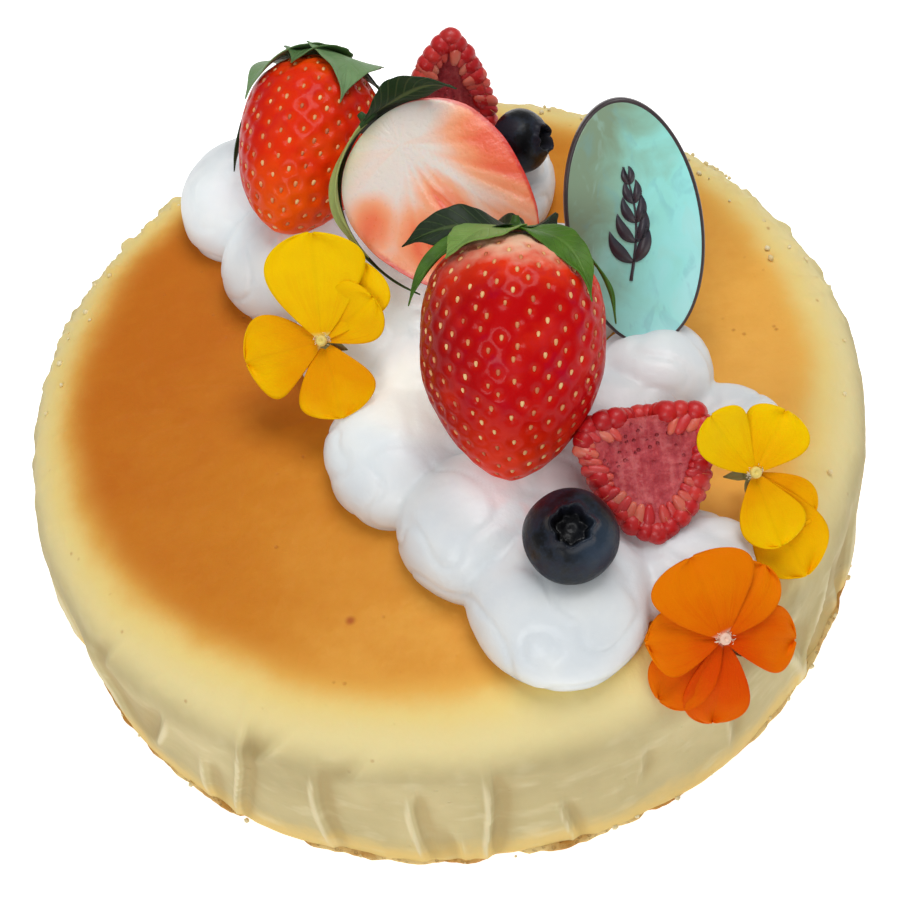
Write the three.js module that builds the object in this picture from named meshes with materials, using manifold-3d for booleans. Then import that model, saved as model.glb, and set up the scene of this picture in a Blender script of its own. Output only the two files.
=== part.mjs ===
// A round souffle cheesecake on a thin sponge base, topped with whipped cream, berries, edible violas
// and an oval plaque. Millimetres, +Z up, front towards -Y. The origin is the middle of the underside.
import * as THREE from "three";
import { mergeVertices } from "three/addons/utils/BufferGeometryUtils.js";
import Module from "manifold-3d";

const wasm = await Module();
wasm.setup();

// ---- driving dimensions ----
const CAKE_RADIUS = 75;
const CAKE_TOP = 38.6;
const BASE_THICKNESS = 3;
const BASE_OVERHANG = 0.7; // how far the sponge base stands proud of the paper-creased wall
const SHOULDER_RADIUS = 12;
const CREASE_DEPTH = 0.45; // soft dents that the baking paper leaves in the wall
const GAP = 0.3; // clearance between one piece and the pocket that holds it
const LEAF_CLEARANCE = GAP + 0.35; // from a strawberry's skin to its leaves and stem
const PETAL_THICKNESS = 0.7;
const NARROWEST_PETAL = 1.6;
const SEPAL_THICKNESS = 0.8;
const NARROWEST_LEAF = 0.7;

// Whipped cream, spooned on in overlapping lumps: place, half length, half width, height and turn.
const CREAM_LUMPS = {
  front: { x: 13.6, y: -51.3, long: 15, wide: 14.3, high: 12, turn: 20 },
  frontLeft: { x: 2.5, y: -35, long: 14, wide: 12.5, high: 12.5, turn: 60 },
  middleLeft: { x: -8.6, y: -18.4, long: 13.5, wide: 12, high: 11.5, turn: 70 },
  underFlower: { x: -13, y: 6, long: 13, wide: 11, high: 10.5, turn: 100 },
  backLeft: { x: -22, y: 27, long: 13.5, wide: 13, high: 14.5, turn: 90 },
  backCorner: { x: -29, y: 44.5, long: 13.5, wide: 13, high: 14, turn: 0 },
  backMiddle: { x: -8, y: 44, long: 15, wide: 14, high: 15, turn: 0 },
  backRight: { x: 12, y: 38, long: 16, wide: 13.5, high: 14.5, turn: 10 },
  middle: { x: 2, y: 16, long: 17, wide: 15, high: 16, turn: 120 },
  underPlaque: { x: 25, y: 13, long: 14, wide: 12, high: 9.5, turn: 100 },
  heart: { x: 12, y: -6, long: 17, wide: 15, high: 14.5, turn: 110 },
  underRaspberry: { x: 24, y: -33, long: 15, wide: 13, high: 10.5, turn: 20 },
  plaqueFoot: { x: 36, y: -10, long: 10.5, wide: 10, high: 10.5, turn: 0 },
  smear: { x: 47, y: -19.5, long: 9, wide: 5.5, high: 5, turn: -15 },
  frontRight: { x: 34, y: -47.5, long: 12, wide: 9.5, high: 7.5, turn: 10 },
};

// Whole strawberries: middle of the fruit, direction from tip to leaves, length and widest radius.
const STRAWBERRIES = {
  front: { at: [12.1, -19.2, 63.4], axis: [0.18, 0.76, 0.62], length: 38.5, radius: 14.7 },
  back: { at: [-16.3, 37.3, 60], axis: [0.37, 0.91, 0.19], length: 34, radius: 12.2 },
};
// The halved strawberry: middle of its cut face, direction from tip to leaves, and the face's outward side.
const HALF_BERRY = {
  at: [6.4, 14.4, 64.6],
  axis: [-0.57, 0.7, 0.42],
  face: [-0.05, -0.53, 0.85],
  length: 37,
  radius: 14.4,
};
const WIDEST_AT = 0.58; // where a strawberry is widest, from its tip

// Leaves of each strawberry: turn round the stem and reach round the shoulder in degrees, width,
// and how far the tip rises along the stem or stands out from the fruit.
const LEAVES = {
  front: [
    { turn: 88, reach: 72, width: 5.4, rise: 7.5, out: 3 },
    { turn: 52, reach: 50, width: 6, rise: 1.5, out: 0 },
    { turn: 70, reach: 74, width: 4, rise: 0, out: 1.2 },
    { turn: 150, reach: 55, width: 5.5, rise: 4, out: 0 },
    { turn: 200, reach: 45, width: 5.5, rise: 4, out: 0 },
    { turn: 262, reach: 88, width: 4, rise: -1, out: 0.8 },
    { turn: 295, reach: 72, width: 5.5, rise: 0.5, out: 0 },
  ],
  back: [
    { turn: 10, reach: 62, width: 8, rise: 1, out: 0 },
    { turn: 55, reach: 68, width: 8, rise: 0.5, out: 0.5 },
    { turn: 105, reach: 88, width: 5.5, rise: 0, out: 1 },
    { turn: 180, reach: 45, width: 5, rise: 2, out: 0 },
    { turn: 265, reach: 60, width: 6, rise: 1, out: 0 },
    { turn: 320, reach: 70, width: 8, rise: 0.5, out: 0 },
  ],
  half: [
    { turn: 78, reach: 52, width: 3, rise: 1.5, out: 0 },
    { turn: 285, reach: 58, width: 5.5, rise: 4, out: 0 },
    { turn: 235, reach: 45, width: 5, rise: 3, out: 0 },
    { turn: 190, reach: 36, width: 4, rise: 3, out: 0 },
  ],
};

// Halved raspberries: middle of the cut face, direction from tip to rim, outward side of the face.
const RASPBERRIES = {
  front: {
    at: [30.3, -37.3, 53.2],
    axis: [-0.12, 0.82, 0.56],
    face: [0.03, -0.55, 0.83],
    length: 20.5,
    tipRadius: 7.5,
    rimRadius: 12.2,
  },
  back: {
    at: [10.3, 45, 61.2],
    axis: [-0.16, -0.4, -0.9],
    face: [0.02, -0.9, 0.42],
    length: 19,
    tipRadius: 4.5,
    rimRadius: 10.2,
  },
};
const DRUPELETS = { rows: 5, round: 10, relief: 0.7 };

const BLUEBERRIES = {
  front: { at: [16.1, -47.9, 54.6], crown: [0, -0.33, 0.94], radius: 7.3 },
  back: { at: [21.3, 35.4, 55.4], crown: [0.85, -0.4, 0.34], radius: 5.7 },
};

// Violas: heart of the flower, the way it faces, its top, and each petal's turn, length, width and cup.
const VIOLAS = {
  yellow_left: {
    at: [-17.6, -1.6, 53.6],
    face: [-0.12, -0.58, 0.8],
    spur: 8.5,
    petals: [
      { turn: 6, length: 17.5, width: 15, cup: 0.1 },
      { turn: 33, length: 16, width: 12, cup: -0.1 },
      { turn: 62, length: 12.5, width: 11, cup: 0.15 },
      { turn: -94, length: 13.5, width: 12.5, cup: -0.12 },
      { turn: 176, length: 13, width: 11, cup: 0.16 },
    ],
  },
  yellow_right: {
    at: [46.1, -38.8, 50],
    face: [0.1, -0.55, 0.82],
    spur: 9.5,
    petals: [
      { turn: -33, length: 11, width: 7.5, cup: 0.5 },
      { turn: 38, length: 10.5, width: 8.5, cup: 0.1 },
      { turn: 172, length: 12, width: 8, cup: 0.05 },
      { turn: 158, length: 17.5, width: 9.5, cup: -0.12 },
      { turn: 130, length: 12, width: 6.5, cup: -0.05 },
    ],
  },
  orange: {
    at: [36.3, -61.5, 40.8],
    face: [0.18, -0.56, 0.81],
    spur: 4.6,
    petals: [
      { turn: -16, length: 13.5, width: 13, cup: 0.05 },
      { turn: 42, length: 12.5, width: 10, cup: -0.05 },
      { turn: -88, length: 11.5, width: 7.5, cup: -0.15 },
      { turn: 108, length: 11.5, width: 8, cup: -0.2 },
      { turn: -127, length: 13, width: 7.5, cup: -0.3 },
      { turn: -166, length: 12.5, width: 8, cup: -0.3 },
    ],
  },
};
const FLOWER_TOP = [0, 0.81, 0.59]; // the violas' tops lean back, as they lie against the cream
const SPUR_RADIUS = 1.3; // the short stalk behind each viola

const PLAQUE = {
  at: [35.9, 4.4, 63.2],
  up: [-0.05, 0.54, 0.84],
  face: [-0.02, -0.84, 0.54],
  halfWidth: 11.2,
  halfHeight: 21,
  thickness: 2,
  bevel: 0.5,
};

// ---- shapes, solids and places ----
const { degToRad } = THREE.MathUtils;

function reshape(geometry, move) {
  const places = geometry.attributes.position;
  const spot = new THREE.Vector3();
  for (let i = 0; i < places.count; i += 1) {
    spot.fromBufferAttribute(places, i);
    move(spot);
    places.setXYZ(i, spot.x, spot.y, spot.z);
  }
  return geometry;
}

function toSolid(geometry) {
  const bare = geometry.clone();
  bare.deleteAttribute("normal");
  bare.deleteAttribute("uv");
  const welded = mergeVertices(bare, 1e-4);
  const vertProperties = welded.attributes.position.array;
  const triVerts = new Uint32Array(welded.index.array);
  return new wasm.Manifold(new wasm.Mesh({ numProp: 3, vertProperties, triVerts }));
}

function toMesh(name, solid, colour, roughness) {
  const { vertProperties, triVerts } = solid.getMesh();
  const geometry = new THREE.BufferGeometry();
  geometry.setAttribute("position", new THREE.BufferAttribute(vertProperties, 3));
  geometry.setIndex(new THREE.BufferAttribute(triVerts, 1));
  geometry.computeVertexNormals();
  const material = new THREE.MeshStandardMaterial({ color: colour, roughness, metalness: 0 });
  const mesh = new THREE.Mesh(geometry, material);
  mesh.name = name;
  return mesh;
}

// A turned frame at a point, with local +Z along `forward` and local +Y as near `top` as it can be.
function frameAt(at, forward, top) {
  const z = new THREE.Vector3(...forward).normalize();
  const x = new THREE.Vector3(...top).cross(z).normalize();
  const y = z.clone().cross(x);
  return new THREE.Matrix4().makeBasis(x, y, z).setPosition(...at);
}

function placed(solid, matrix) {
  return solid.transform(matrix.elements);
}

// The same solid grown by the gap on every side, for cutting the pocket that it sits in.
function grown(solid, matrix) {
  const { min, max } = solid.boundingBox();
  const middle = [0, 1, 2].map((i) => (min[i] + max[i]) / 2);
  const factor = [0, 1, 2].map((i) => 1 + (2 * GAP) / (max[i] - min[i]));
  const bigger = solid.translate(middle.map((v) => -v)).scale(factor).translate(middle);
  return placed(bigger, matrix);
}

function unionOf(solids) {
  return solids.reduce((sum, next) => sum.add(next));
}

// A round solid turned from an outline of [radius, height] points that runs up from axis to axis.
function turned(outline, segments) {
  const points = outline.map(([radius, height]) => new THREE.Vector2(radius, height));
  return new THREE.LatheGeometry(points, segments).rotateX(Math.PI / 2);
}

// ---- cake ----
const CAKE_SEGMENTS = 60;
const wallDent = (angle) =>
  CREASE_DEPTH * (0.5 * Math.sin(5 * angle + 1) + 0.3 * Math.sin(9 * angle) + 0.2 * Math.sin(17 * angle));

function spongeBase() {
  const outline = [
    [0, 0],
    [CAKE_RADIUS - 0.6, 0],
    [CAKE_RADIUS, 0.8],
    [CAKE_RADIUS, BASE_THICKNESS],
    [0, BASE_THICKNESS],
  ];
  return toSolid(turned(outline, CAKE_SEGMENTS));
}

function cheesecake() {
  const wall = CAKE_RADIUS - BASE_OVERHANG - CREASE_DEPTH;
  const shoulderSteps = 5;
  const shoulderFoot = CAKE_TOP - SHOULDER_RADIUS;
  const outline = [
    [0, BASE_THICKNESS],
    [wall, BASE_THICKNESS],
    [wall, BASE_THICKNESS + shoulderFoot / 2],
  ];
  for (let i = 0; i <= shoulderSteps; i += 1) {
    const angle = (Math.PI / 2) * (i / shoulderSteps);
    const radius = wall - SHOULDER_RADIUS * (1 - Math.cos(angle));
    outline.push([radius, shoulderFoot + SHOULDER_RADIUS * Math.sin(angle)]);
  }
  outline.push([0, CAKE_TOP]);
  const shape = reshape(turned(outline, CAKE_SEGMENTS), (p) => {
    const radius = Math.hypot(p.x, p.y);
    if (radius < wall / 2) return;
    const onWall = Math.min(1, (CAKE_TOP - p.z) / SHOULDER_RADIUS);
    const factor = 1 + (wallDent(Math.atan2(p.y, p.x)) * onWall) / radius;
    p.x *= factor;
    p.y *= factor;
  });
  return toSolid(shape);
}

// ---- whipped cream ----
// Each lump is a soft ellipsoid, a little lobed, whose lower part is cut off flat by the cake's top.
function creamLump({ x, y, long, wide, high, turn }) {
  const shape = reshape(new THREE.SphereGeometry(1, 14, 7).rotateX(Math.PI / 2), (p) => {
    const lobe = 1 + 0.035 * Math.sin(3 * Math.atan2(p.y, p.x) + x);
    p.set(p.x * long * lobe, p.y * wide * lobe, (0.25 + 0.75 * p.z) * high);
  });
  shape.rotateZ(degToRad(turn)).translate(x, y, CAKE_TOP);
  return toSolid(shape);
}

function whippedCream(pockets) {
  const lumps = unionOf(Object.values(CREAM_LUMPS).map(creamLump));
  const above = new THREE.BoxGeometry(200, 200, 60).translate(0, 0, CAKE_TOP + 30);
  return pockets.reduce((cream, pocket) => cream.subtract(pocket), lumps.intersect(toSolid(above)));
}

// ---- strawberries ----
// Radius and height of a strawberry's skin, by an angle that runs from its stem (0) to its tip (180).
function skinAt({ length, radius }, degrees) {
  const angle = degToRad(degrees);
  const shoulder = length * (1 - WIDEST_AT);
  const widest = length * (WIDEST_AT - 0.5);
  if (degrees <= 90) return [radius * Math.sin(angle), widest + shoulder * Math.cos(angle) ** 0.77];
  const share = -Math.cos(angle);
  return [radius * (1 - share ** 1.9) ** 0.62, widest - length * WIDEST_AT * share];
}

// A strawberry along +Z, its tip down, centred on the origin.
function strawberry(fruit) {
  const steps = 11;
  const outline = [[0, -fruit.length / 2]];
  for (let i = steps - 1; i > 0; i -= 1) outline.push(skinAt(fruit, (180 * i) / steps));
  outline.push([0, fruit.length / 2]);
  return toSolid(turned(outline, 16));
}

function halfStrawberry(fruit) {
  const kept = new THREE.BoxGeometry(80, 80, 80).translate(0, -40, 0);
  return strawberry(fruit).intersect(toSolid(kept));
}

// One leaf, which starts at the stem and lies over the shoulder of its strawberry.
function leaf(fruit, { turn, reach, width, rise, out }) {
  const shape = reshape(new THREE.BoxGeometry(1, 1, SEPAL_THICKNESS, 1, 4, 1), (p) => {
    const share = p.y + 0.5;
    const angle = degToRad(reach * share);
    const [radius, height] = skinAt(fruit, reach * share);
    const off = p.z + SEPAL_THICKNESS / 2 + LEAF_CLEARANCE;
    const across = Math.max(NARROWEST_LEAF, width * Math.sin(Math.PI * (0.2 + 0.77 * share)) ** 0.9);
    p.x *= across;
    p.y = radius + off * Math.sin(angle) + out * share ** 2;
    p.z = height + off * Math.cos(angle) + rise * share ** 1.5;
  });
  return toSolid(shape.rotateZ(degToRad(-turn)));
}

// The ring of leaves with its short stem, on top of a strawberry that runs along +Z.
function calyx(leaves, fruit) {
  const button = turned([[0, 0], [2.1, 0], [2.1, 1], [1, 1.5], [0.9, 3.4], [0, 3.4]], 8);
  const stem = toSolid(button).translate([0, 0, fruit.length / 2 + LEAF_CLEARANCE]);
  return unionOf([stem, ...leaves.map((one) => leaf(fruit, one))]);
}

// ---- small berries ----
// Half a raspberry along +Z, its blunt rim up and its cut face towards +Y, with bumps for drupelets.
function halfRaspberry({ length, tipRadius, rimRadius }) {
  const { rows, round, relief } = DRUPELETS;
  const shape = new THREE.SphereGeometry(1, 30, 12).rotateX(Math.PI / 2);
  reshape(shape, (p) => {
    const angle = Math.atan2(p.y, p.x);
    const row = ((p.z + 1) / 2) * rows;
    const shift = Math.floor(row) % 2 === 0 ? 0 : Math.PI;
    const bump = Math.abs(Math.sin(Math.PI * row)) * (0.6 + 0.4 * Math.cos(round * angle + shift));
    const side = Math.hypot(p.x, p.y);
    const blunt = (side ** 2.8 + Math.abs(p.z) ** 2.8) ** (-1 / 2.8);
    const high = p.z * blunt;
    const wide = blunt * (tipRadius + ((rimRadius - tipRadius) * (high + 1)) / 2) + relief * bump;
    p.set(p.x * wide, p.y * wide, (high * length) / 2);
  });
  const kept = new THREE.BoxGeometry(60, 60, 60).translate(0, -30, 0);
  return toSolid(shape).intersect(toSolid(kept));
}

// A blueberry with its crown up: a raised, five-pointed ring round a shallow dimple.
function blueberry(radius) {
  const shape = new THREE.SphereGeometry(1, 20, 9).rotateX(Math.PI / 2);
  reshape(shape, (p) => {
    const fromAxis = Math.hypot(p.x, p.y);
    const points = 1 + 0.25 * Math.cos(5 * Math.atan2(p.y, p.x));
    const rim = p.z > 0 ? 0.14 * points * Math.exp(-(((fromAxis - 0.38) / 0.14) ** 2)) : 0;
    const dimple = p.z > 0 ? 0.16 * Math.exp(-((fromAxis / 0.26) ** 2)) : 0;
    p.set(p.x * radius, p.y * radius, (p.z * 0.88 + rim - dimple) * radius);
  });
  return toSolid(shape);
}

// ---- violas and plaque ----
// A thin blade that starts at the origin and runs along +Y: its width and lift follow two functions.
function blade(length, thickness, steps, widthAt, liftAt) {
  return reshape(new THREE.BoxGeometry(1, 1, thickness, 2, steps, 1), (p) => {
    const share = p.y + 0.5;
    p.set(p.x * widthAt(share), share * length, p.z + liftAt(share, p.x) * length);
  });
}

function spur(length) {
  const radius = SPUR_RADIUS;
  return toSolid(turned([[0, -length], [radius * 0.6, -length], [radius, -1], [radius, 0.5], [0, 0.5]], 8));
}

// A viola that faces +Z with its top towards +Y.
function viola({ petals, spur: spurLength }) {
  const parts = petals.map(({ turn, length, width, cup }, i) => {
    const widthAt = (share) => Math.max(NARROWEST_PETAL, width * Math.sin(Math.PI * (0.06 + 0.86 * share)) ** 0.7);
    const liftAt = (share, side) => cup * share ** 2 - 0.2 * cup * side ** 2;
    const petal = blade(length, PETAL_THICKNESS, 4, widthAt, liftAt);
    const layer = 0.25 * (petals.length - i);
    return toSolid(petal.rotateZ(degToRad(-turn)).translate(0, 0, layer));
  });
  return unionOf([spur(spurLength), ...parts]);
}

// The oval plaque: a thin disc with a small bevel round both faces.
function plaque() {
  const { halfWidth, halfHeight, thickness, bevel } = PLAQUE;
  const shape = turned(
    [[0, -thickness / 2], [1 - bevel / halfWidth, -thickness / 2], [1, bevel - thickness / 2],
      [1, thickness / 2 - bevel], [1 - bevel / halfWidth, thickness / 2], [0, thickness / 2]],
    28,
  );
  return toSolid(shape.scale(halfWidth, halfHeight, 1));
}

// ---- everything in its place ----
const UP = [0, 0, 1];

const fruitFrame = ({ at, axis, face }) => frameAt(at, axis, face ?? UP);
const cake = new THREE.Group();
const pockets = [];

function add(name, solid, matrix, colour, roughness, sunk = true) {
  const mesh = toMesh(name, solid, colour, roughness);
  mesh.applyMatrix4(matrix);
  cake.add(mesh);
  if (sunk) pockets.push(grown(solid, matrix));
}

for (const [where, fruit] of Object.entries(STRAWBERRIES)) {
  const matrix = fruitFrame(fruit);
  add(`strawberry_${where}`, strawberry(fruit), matrix, 0xc4160f, 0.3);
  add(`strawberry_${where}_leaves`, calyx(LEAVES[where], fruit), matrix, 0x3f6b2a, 0.6, false);
}
add("strawberry_half", halfStrawberry(HALF_BERRY), fruitFrame(HALF_BERRY), 0xef8a5a, 0.35);
add("strawberry_half_leaves", calyx(LEAVES.half, HALF_BERRY), fruitFrame(HALF_BERRY), 0x2f5a22, 0.6, false);
for (const [where, fruit] of Object.entries(RASPBERRIES)) {
  add(`raspberry_half_${where}`, halfRaspberry(fruit), fruitFrame(fruit), 0xb52a3a, 0.45);
}
for (const [where, { at, crown, radius }] of Object.entries(BLUEBERRIES)) {
  add(`blueberry_${where}`, blueberry(radius), frameAt(at, crown, [0, 1, 0.1]), 0x181a26, 0.4);
}
for (const [where, flower] of Object.entries(VIOLAS)) {
  const matrix = frameAt(flower.at, flower.face, FLOWER_TOP);
  const colour = where === "orange" ? 0xd96200 : 0xe8b400;
  add(`viola_${where}`, viola(flower), matrix, colour, 0.6, false);
  pockets.push(grown(spur(flower.spur), matrix));
}
add("plaque", plaque(), frameAt(PLAQUE.at, PLAQUE.face, PLAQUE.up), 0x8ccfc8, 0.2);
cake.add(toMesh("sponge_base", spongeBase(), 0xc78a3c, 0.9));
cake.add(toMesh("cheesecake", cheesecake(), 0xe3c98c, 0.7));
cake.add(toMesh("whipped_cream", whippedCream(pockets), 0xf4f4f2, 0.5));

export default cake;
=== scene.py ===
# A round souffle cheesecake topped with whipped cream, berries, violas and an oval plaque.
# Sizes are in millimetres, and become metres when a mesh is made. +Z is up, and the front is towards -Y.
import math
import random

import bpy
import numpy as np
from mathutils import Matrix, Vector, kdtree, noise


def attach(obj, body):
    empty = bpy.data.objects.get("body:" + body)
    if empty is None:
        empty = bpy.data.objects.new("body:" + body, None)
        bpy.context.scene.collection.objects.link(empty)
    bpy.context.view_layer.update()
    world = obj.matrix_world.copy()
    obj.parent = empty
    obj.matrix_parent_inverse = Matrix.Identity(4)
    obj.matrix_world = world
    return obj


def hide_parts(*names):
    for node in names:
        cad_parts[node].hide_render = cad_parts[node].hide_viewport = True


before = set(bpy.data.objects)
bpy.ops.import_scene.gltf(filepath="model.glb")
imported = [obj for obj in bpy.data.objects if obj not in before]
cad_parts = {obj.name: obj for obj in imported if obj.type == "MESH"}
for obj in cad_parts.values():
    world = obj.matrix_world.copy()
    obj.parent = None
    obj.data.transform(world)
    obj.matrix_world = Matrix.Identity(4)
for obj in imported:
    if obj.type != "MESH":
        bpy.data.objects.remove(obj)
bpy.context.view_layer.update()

MM = 0.001

# ---- sizes ----
CAKE_TOP = 38.6
BODY_FOOT = 1.8  # the body sinks a little into its sponge, so only a thin edge of sponge shows
WALL_RADIUS = 73.85
SHOULDER_RADIUS = 12
CREASE_DEPTH = 0.45
SEPAL_THICKNESS = 0.8
LEAF_CLEARANCE = 0.65  # between a strawberry's skin and the leaves on it
ACHENES_APART = 2.95
DRUPELETS_APART = 2.3
RIM_BEADS_APART = 1.85
FLOOR_REACH = 3000
# Redder places in the half's pale flesh: across, height from the tip, half width, half length.
FLESH_PATCHES = [
    (-0.9, 0.5, 0.52, 0.32),
    (0.02, 0.47, 0.24, 0.19),
    (0.82, 0.66, 0.34, 0.16),
    (0.52, 0.4, 0.42, 0.22),
]
PALE_HEART = (-0.08, 0.84)  # middle of the white flesh: across, and height from the tip
WIDEST_AT = 0.58  # where a strawberry is widest, from its tip

# Whipped cream, spooned on in overlapping lumps: place, half length, half width, height and turn.
CREAM_LUMPS = [
    (13.6, -51.3, 15, 14.3, 12, 20),
    (2.5, -35, 14, 12.5, 12.5, 60),
    (-8.6, -18.4, 13.5, 12, 11.5, 70),
    (-13, 6, 13, 11, 10.5, 100),
    (-22, 27, 13.5, 13, 14.5, 90),
    (-29, 44.5, 13.5, 13, 14, 0),
    (-8, 44, 15, 14, 15, 0),
    (12, 38, 16, 13.5, 14.5, 10),
    (2, 16, 17, 15, 16, 120),
    (25, 13, 14, 12, 9.5, 100),
    (12, -6, 17, 15, 14.5, 110),
    (24, -33, 15, 13, 10.5, 20),
    (36, -10, 10.5, 10, 10.5, 0),
    (47, -19.5, 9, 5.5, 5, -15),
    (34, -47.5, 12, 9.5, 7.5, 10),
    (-3, -4, 11, 10, 10.5, 0),
    (27, -17, 11, 10, 9.5, 0),
]

STRAWBERRIES = {
    "front": {"at": (12.1, -19.2, 63.4), "axis": (0.18, 0.76, 0.62), "length": 38.5, "radius": 14.7},
    "back": {"at": (-16.3, 37.3, 60), "axis": (0.37, 0.91, 0.19), "length": 34, "radius": 12.2},
    "half": {
        "at": (6.4, 14.4, 64.6),
        "axis": (-0.57, 0.7, 0.42),
        "face": (-0.05, -0.53, 0.85),
        "length": 37,
        "radius": 14.4,
    },
}

# Leaves: turn round the stem, reach round the shoulder, width, rise along the stem, stand-out,
# twist in degrees towards the stem's direction, and how light the leaf is: partly its own tone, partly
# painted shade on dark backlit leaves and painted light on lit ones.
LEAVES = {
    "front": [
        (88, 72, 6.4, 7, 3, 72, -0.25),
        (46, 58, 8, 1.2, 0, 15, 0.95),
        (72, 80, 3.4, 0, 1.2, 30, 0.5),
        (150, 55, 5.5, 4, 0, 50, -0.1),
        (205, 50, 7, 4.5, 0, 30, -0.1),
        (262, 84, 1.6, -0.5, 0.8, 0, 0.5),
        (303, 78, 5.2, 0.5, 0, -35, 0.6),
    ],
    "back": [
        (10, 74, 9.5, 0.4, 0.3, 0, 0.55),
        (48, 92, 11.5, 0.3, 0.4, 10, 0.9),
        (103, 112, 5.5, 0, 1.2, 20, -0.3),
        (180, 45, 5, 2, 0, 0, 0.3),
        (272, 84, 6, 0.4, 0.4, -20, -0.2),
        (325, 90, 11.5, 0.3, 0.4, -10, 0.9),
    ],
    "half": [
        (84, 92, 3, 0, 0.6, 20, 1.1),
        (101, 118, 2.6, 0, 1.0, 0, 0.6),
        (288, 68, 6.4, 1.2, 0.6, 40, -0.1),
        (235, 48, 5.5, 3, 0, 40, 0.1),
        (190, 36, 4, 3, 0, 20, 0.2),
    ],
}

RASPBERRIES = {
    "front": {
        "at": (30.3, -37.3, 53.2),
        "axis": (0.02, 0.83, 0.56),
        "face": (0.03, -0.55, 0.83),
        "length": 20.5,
        "tip": 7.5,
        "rim": 12.2,
    },
    "back": {
        "at": (10.3, 45, 61.2),
        "axis": (-0.16, -0.4, -0.9),
        "face": (0.02, -0.9, 0.42),
        "length": 19,
        "tip": 4.5,
        "rim": 10.2,
    },
}

BLUEBERRIES = {
    "front": {"at": (16.1, -47.9, 54.6), "crown": (0, -0.33, 0.94), "radius": 7.3},
    "back": {"at": (21.3, 35.4, 55.4), "crown": (0.85, -0.4, 0.34), "radius": 5.7},
}

# Violas: heart, facing, stalk, and each petal's turn from the top, length, width and cup.
VIOLAS = {
    "yellow_left": {
        "at": (-17.6, -1.6, 53.6),
        "face": (-0.12, -0.58, 0.8),
        "spur": 8.5,
        "petals": [
            (4, 17.8, 17, 0.1),
            (36, 14.8, 13.5, -0.1),
            (60, 11.2, 11, 0.15),
            (-95, 13.8, 14.2, -0.12),
            (174, 13.2, 13.2, 0.16),
        ],
    },
    "yellow_right": {
        "at": (46.1, -38.8, 50),
        "face": (0.1, -0.55, 0.82),
        "spur": 9.5,
        "petals": [
            (-36, 11.8, 9.5, 0.5),
            (36, 10.8, 11, 0.1),
            (170, 12, 10.5, 0.05),
            (161, 18.2, 12.6, -0.12),
            (136, 11.8, 8.5, -0.05),
        ],
    },
    "orange": {
        "at": (36.3, -61.5, 40.8),
        "face": (0.18, -0.56, 0.81),
        "spur": 4.6,
        "petals": [
            (-14, 13.4, 17, 0.05),
            (40, 13, 10, -0.05),
            (-84, 11.6, 10.2, -0.15),
            (101, 12.6, 10.4, -0.2),
            (-127, 13, 10.2, -0.3),
            (-170, 13.2, 10.6, -0.3),
        ],
    },
}
FLOWER_TOP = (0, 0.81, 0.59)  # the violas' tops lean back, as they lie against the cream
SPUR_RADIUS = 1.3

PLAQUE = {
    "at": (35.9, 4.4, 63.2),
    "up": (-0.05, 0.54, 0.84),
    "face": (-0.02, -0.84, 0.54),
    "half_width": 11.2,
    "half_height": 21,
    "thickness": 2,
}

# Pleats that baking paper pressed into the wall: direction in degrees, top and foot height,
# lean along the wall for each mm of height, half width, how far it stands out, and the trough's side.
PLEATS = [
    (-124.5, 41, 4, 0.16, 0.66, 1.01, 1),
    (-113.6, 34, 4, 0.02, 0.77, 0.81, 1),
    (-116, 39, 30, 0.9, 1.21, 0.94, -1),
    (-137, 31, 10, 0.35, 1.1, 0.94, -1),
    (-144.5, 38, 30, 0.35, 0.99, 0.81, -1),
    (-131, 24, 3, 0.1, 0.99, 0.68, 1),
    (-106, 38, 31, 0.75, 1.1, 0.81, -1),
    (-101.4, 30, 4, 0.03, 0.72, 0.88, 1),
    (-92.6, 34, 3, 0.02, 0.77, 0.94, 1),
    (-82.8, 22, 3, -0.05, 0.66, 0.68, 1),
    (-97, 16, 3, -0.1, 0.77, 0.54, -1),
    (-73, 30, 14, 0.1, 0.66, 0.47, 1),
    (-60, 27, 8, -0.1, 0.88, 0.54, 1),
]
SPARE_PLEATS = 44  # more of them, drawn at random, for the rest of the wall


# ---- places and meshes ----
def frame_at(at, forward, top):
    """A turned frame at a point, its local +Z along `forward` and its +Y as near `top` as it can be."""
    z = Vector(forward).normalized()
    x = Vector(top).cross(z).normalized()
    y = z.cross(x)
    return Matrix.Translation(at) @ Matrix((x, y, z)).transposed().to_4x4()


def placed(points, matrix):
    """The same points in the frame of the whole cake."""
    turn = np.array(matrix.to_3x3())
    return np.asarray(points, float) @ turn.T + np.array(matrix.translation)


def ripple(points, size, seed=0):
    """Smooth noise from -1 to 1 at each point, in waves of about `size`."""
    shifted = np.asarray(points, float).reshape(-1, 3) / size + np.array([17.3, -9.1, 5.7]) * seed
    return np.array([noise.noise(spot) for spot in shifted.tolist()])


def smooth(values, low, high):
    """0 up to `low`, 1 from `high`, with a soft step between them."""
    share = np.clip((np.asarray(values, float) - low) / (high - low), 0, 1)
    return share * share * (3 - 2 * share)


def hump(values, width):
    """A bell of height 1 round zero."""
    return np.exp(-((values / width) ** 2))


def grid_faces(rows, columns, wrap=False):
    """Faces between rows of points; `wrap` joins the last column to the first."""
    faces = []
    for i in range(rows - 1):
        for j in range(columns if wrap else columns - 1):
            k = (j + 1) % columns
            low, high = i * columns, (i + 1) * columns
            faces.append((low + j, low + k, high + k, high + j))
    return faces


def skin(rings):
    """A closed skin over rings of points that run anticlockwise and rise, with a pole at each end."""
    rows, columns = rings.shape[:2]
    faces = grid_faces(rows, columns, wrap=True)
    first, last = rows * columns, rows * columns + 1
    top = first - columns
    for j in range(columns):
        k = (j + 1) % columns
        faces.append((first, k, j))
        faces.append((last, top + j, top + k))
    points = np.vstack([rings.reshape(-1, 3), rings[0].mean(0), rings[-1].mean(0)])
    return points, faces


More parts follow.
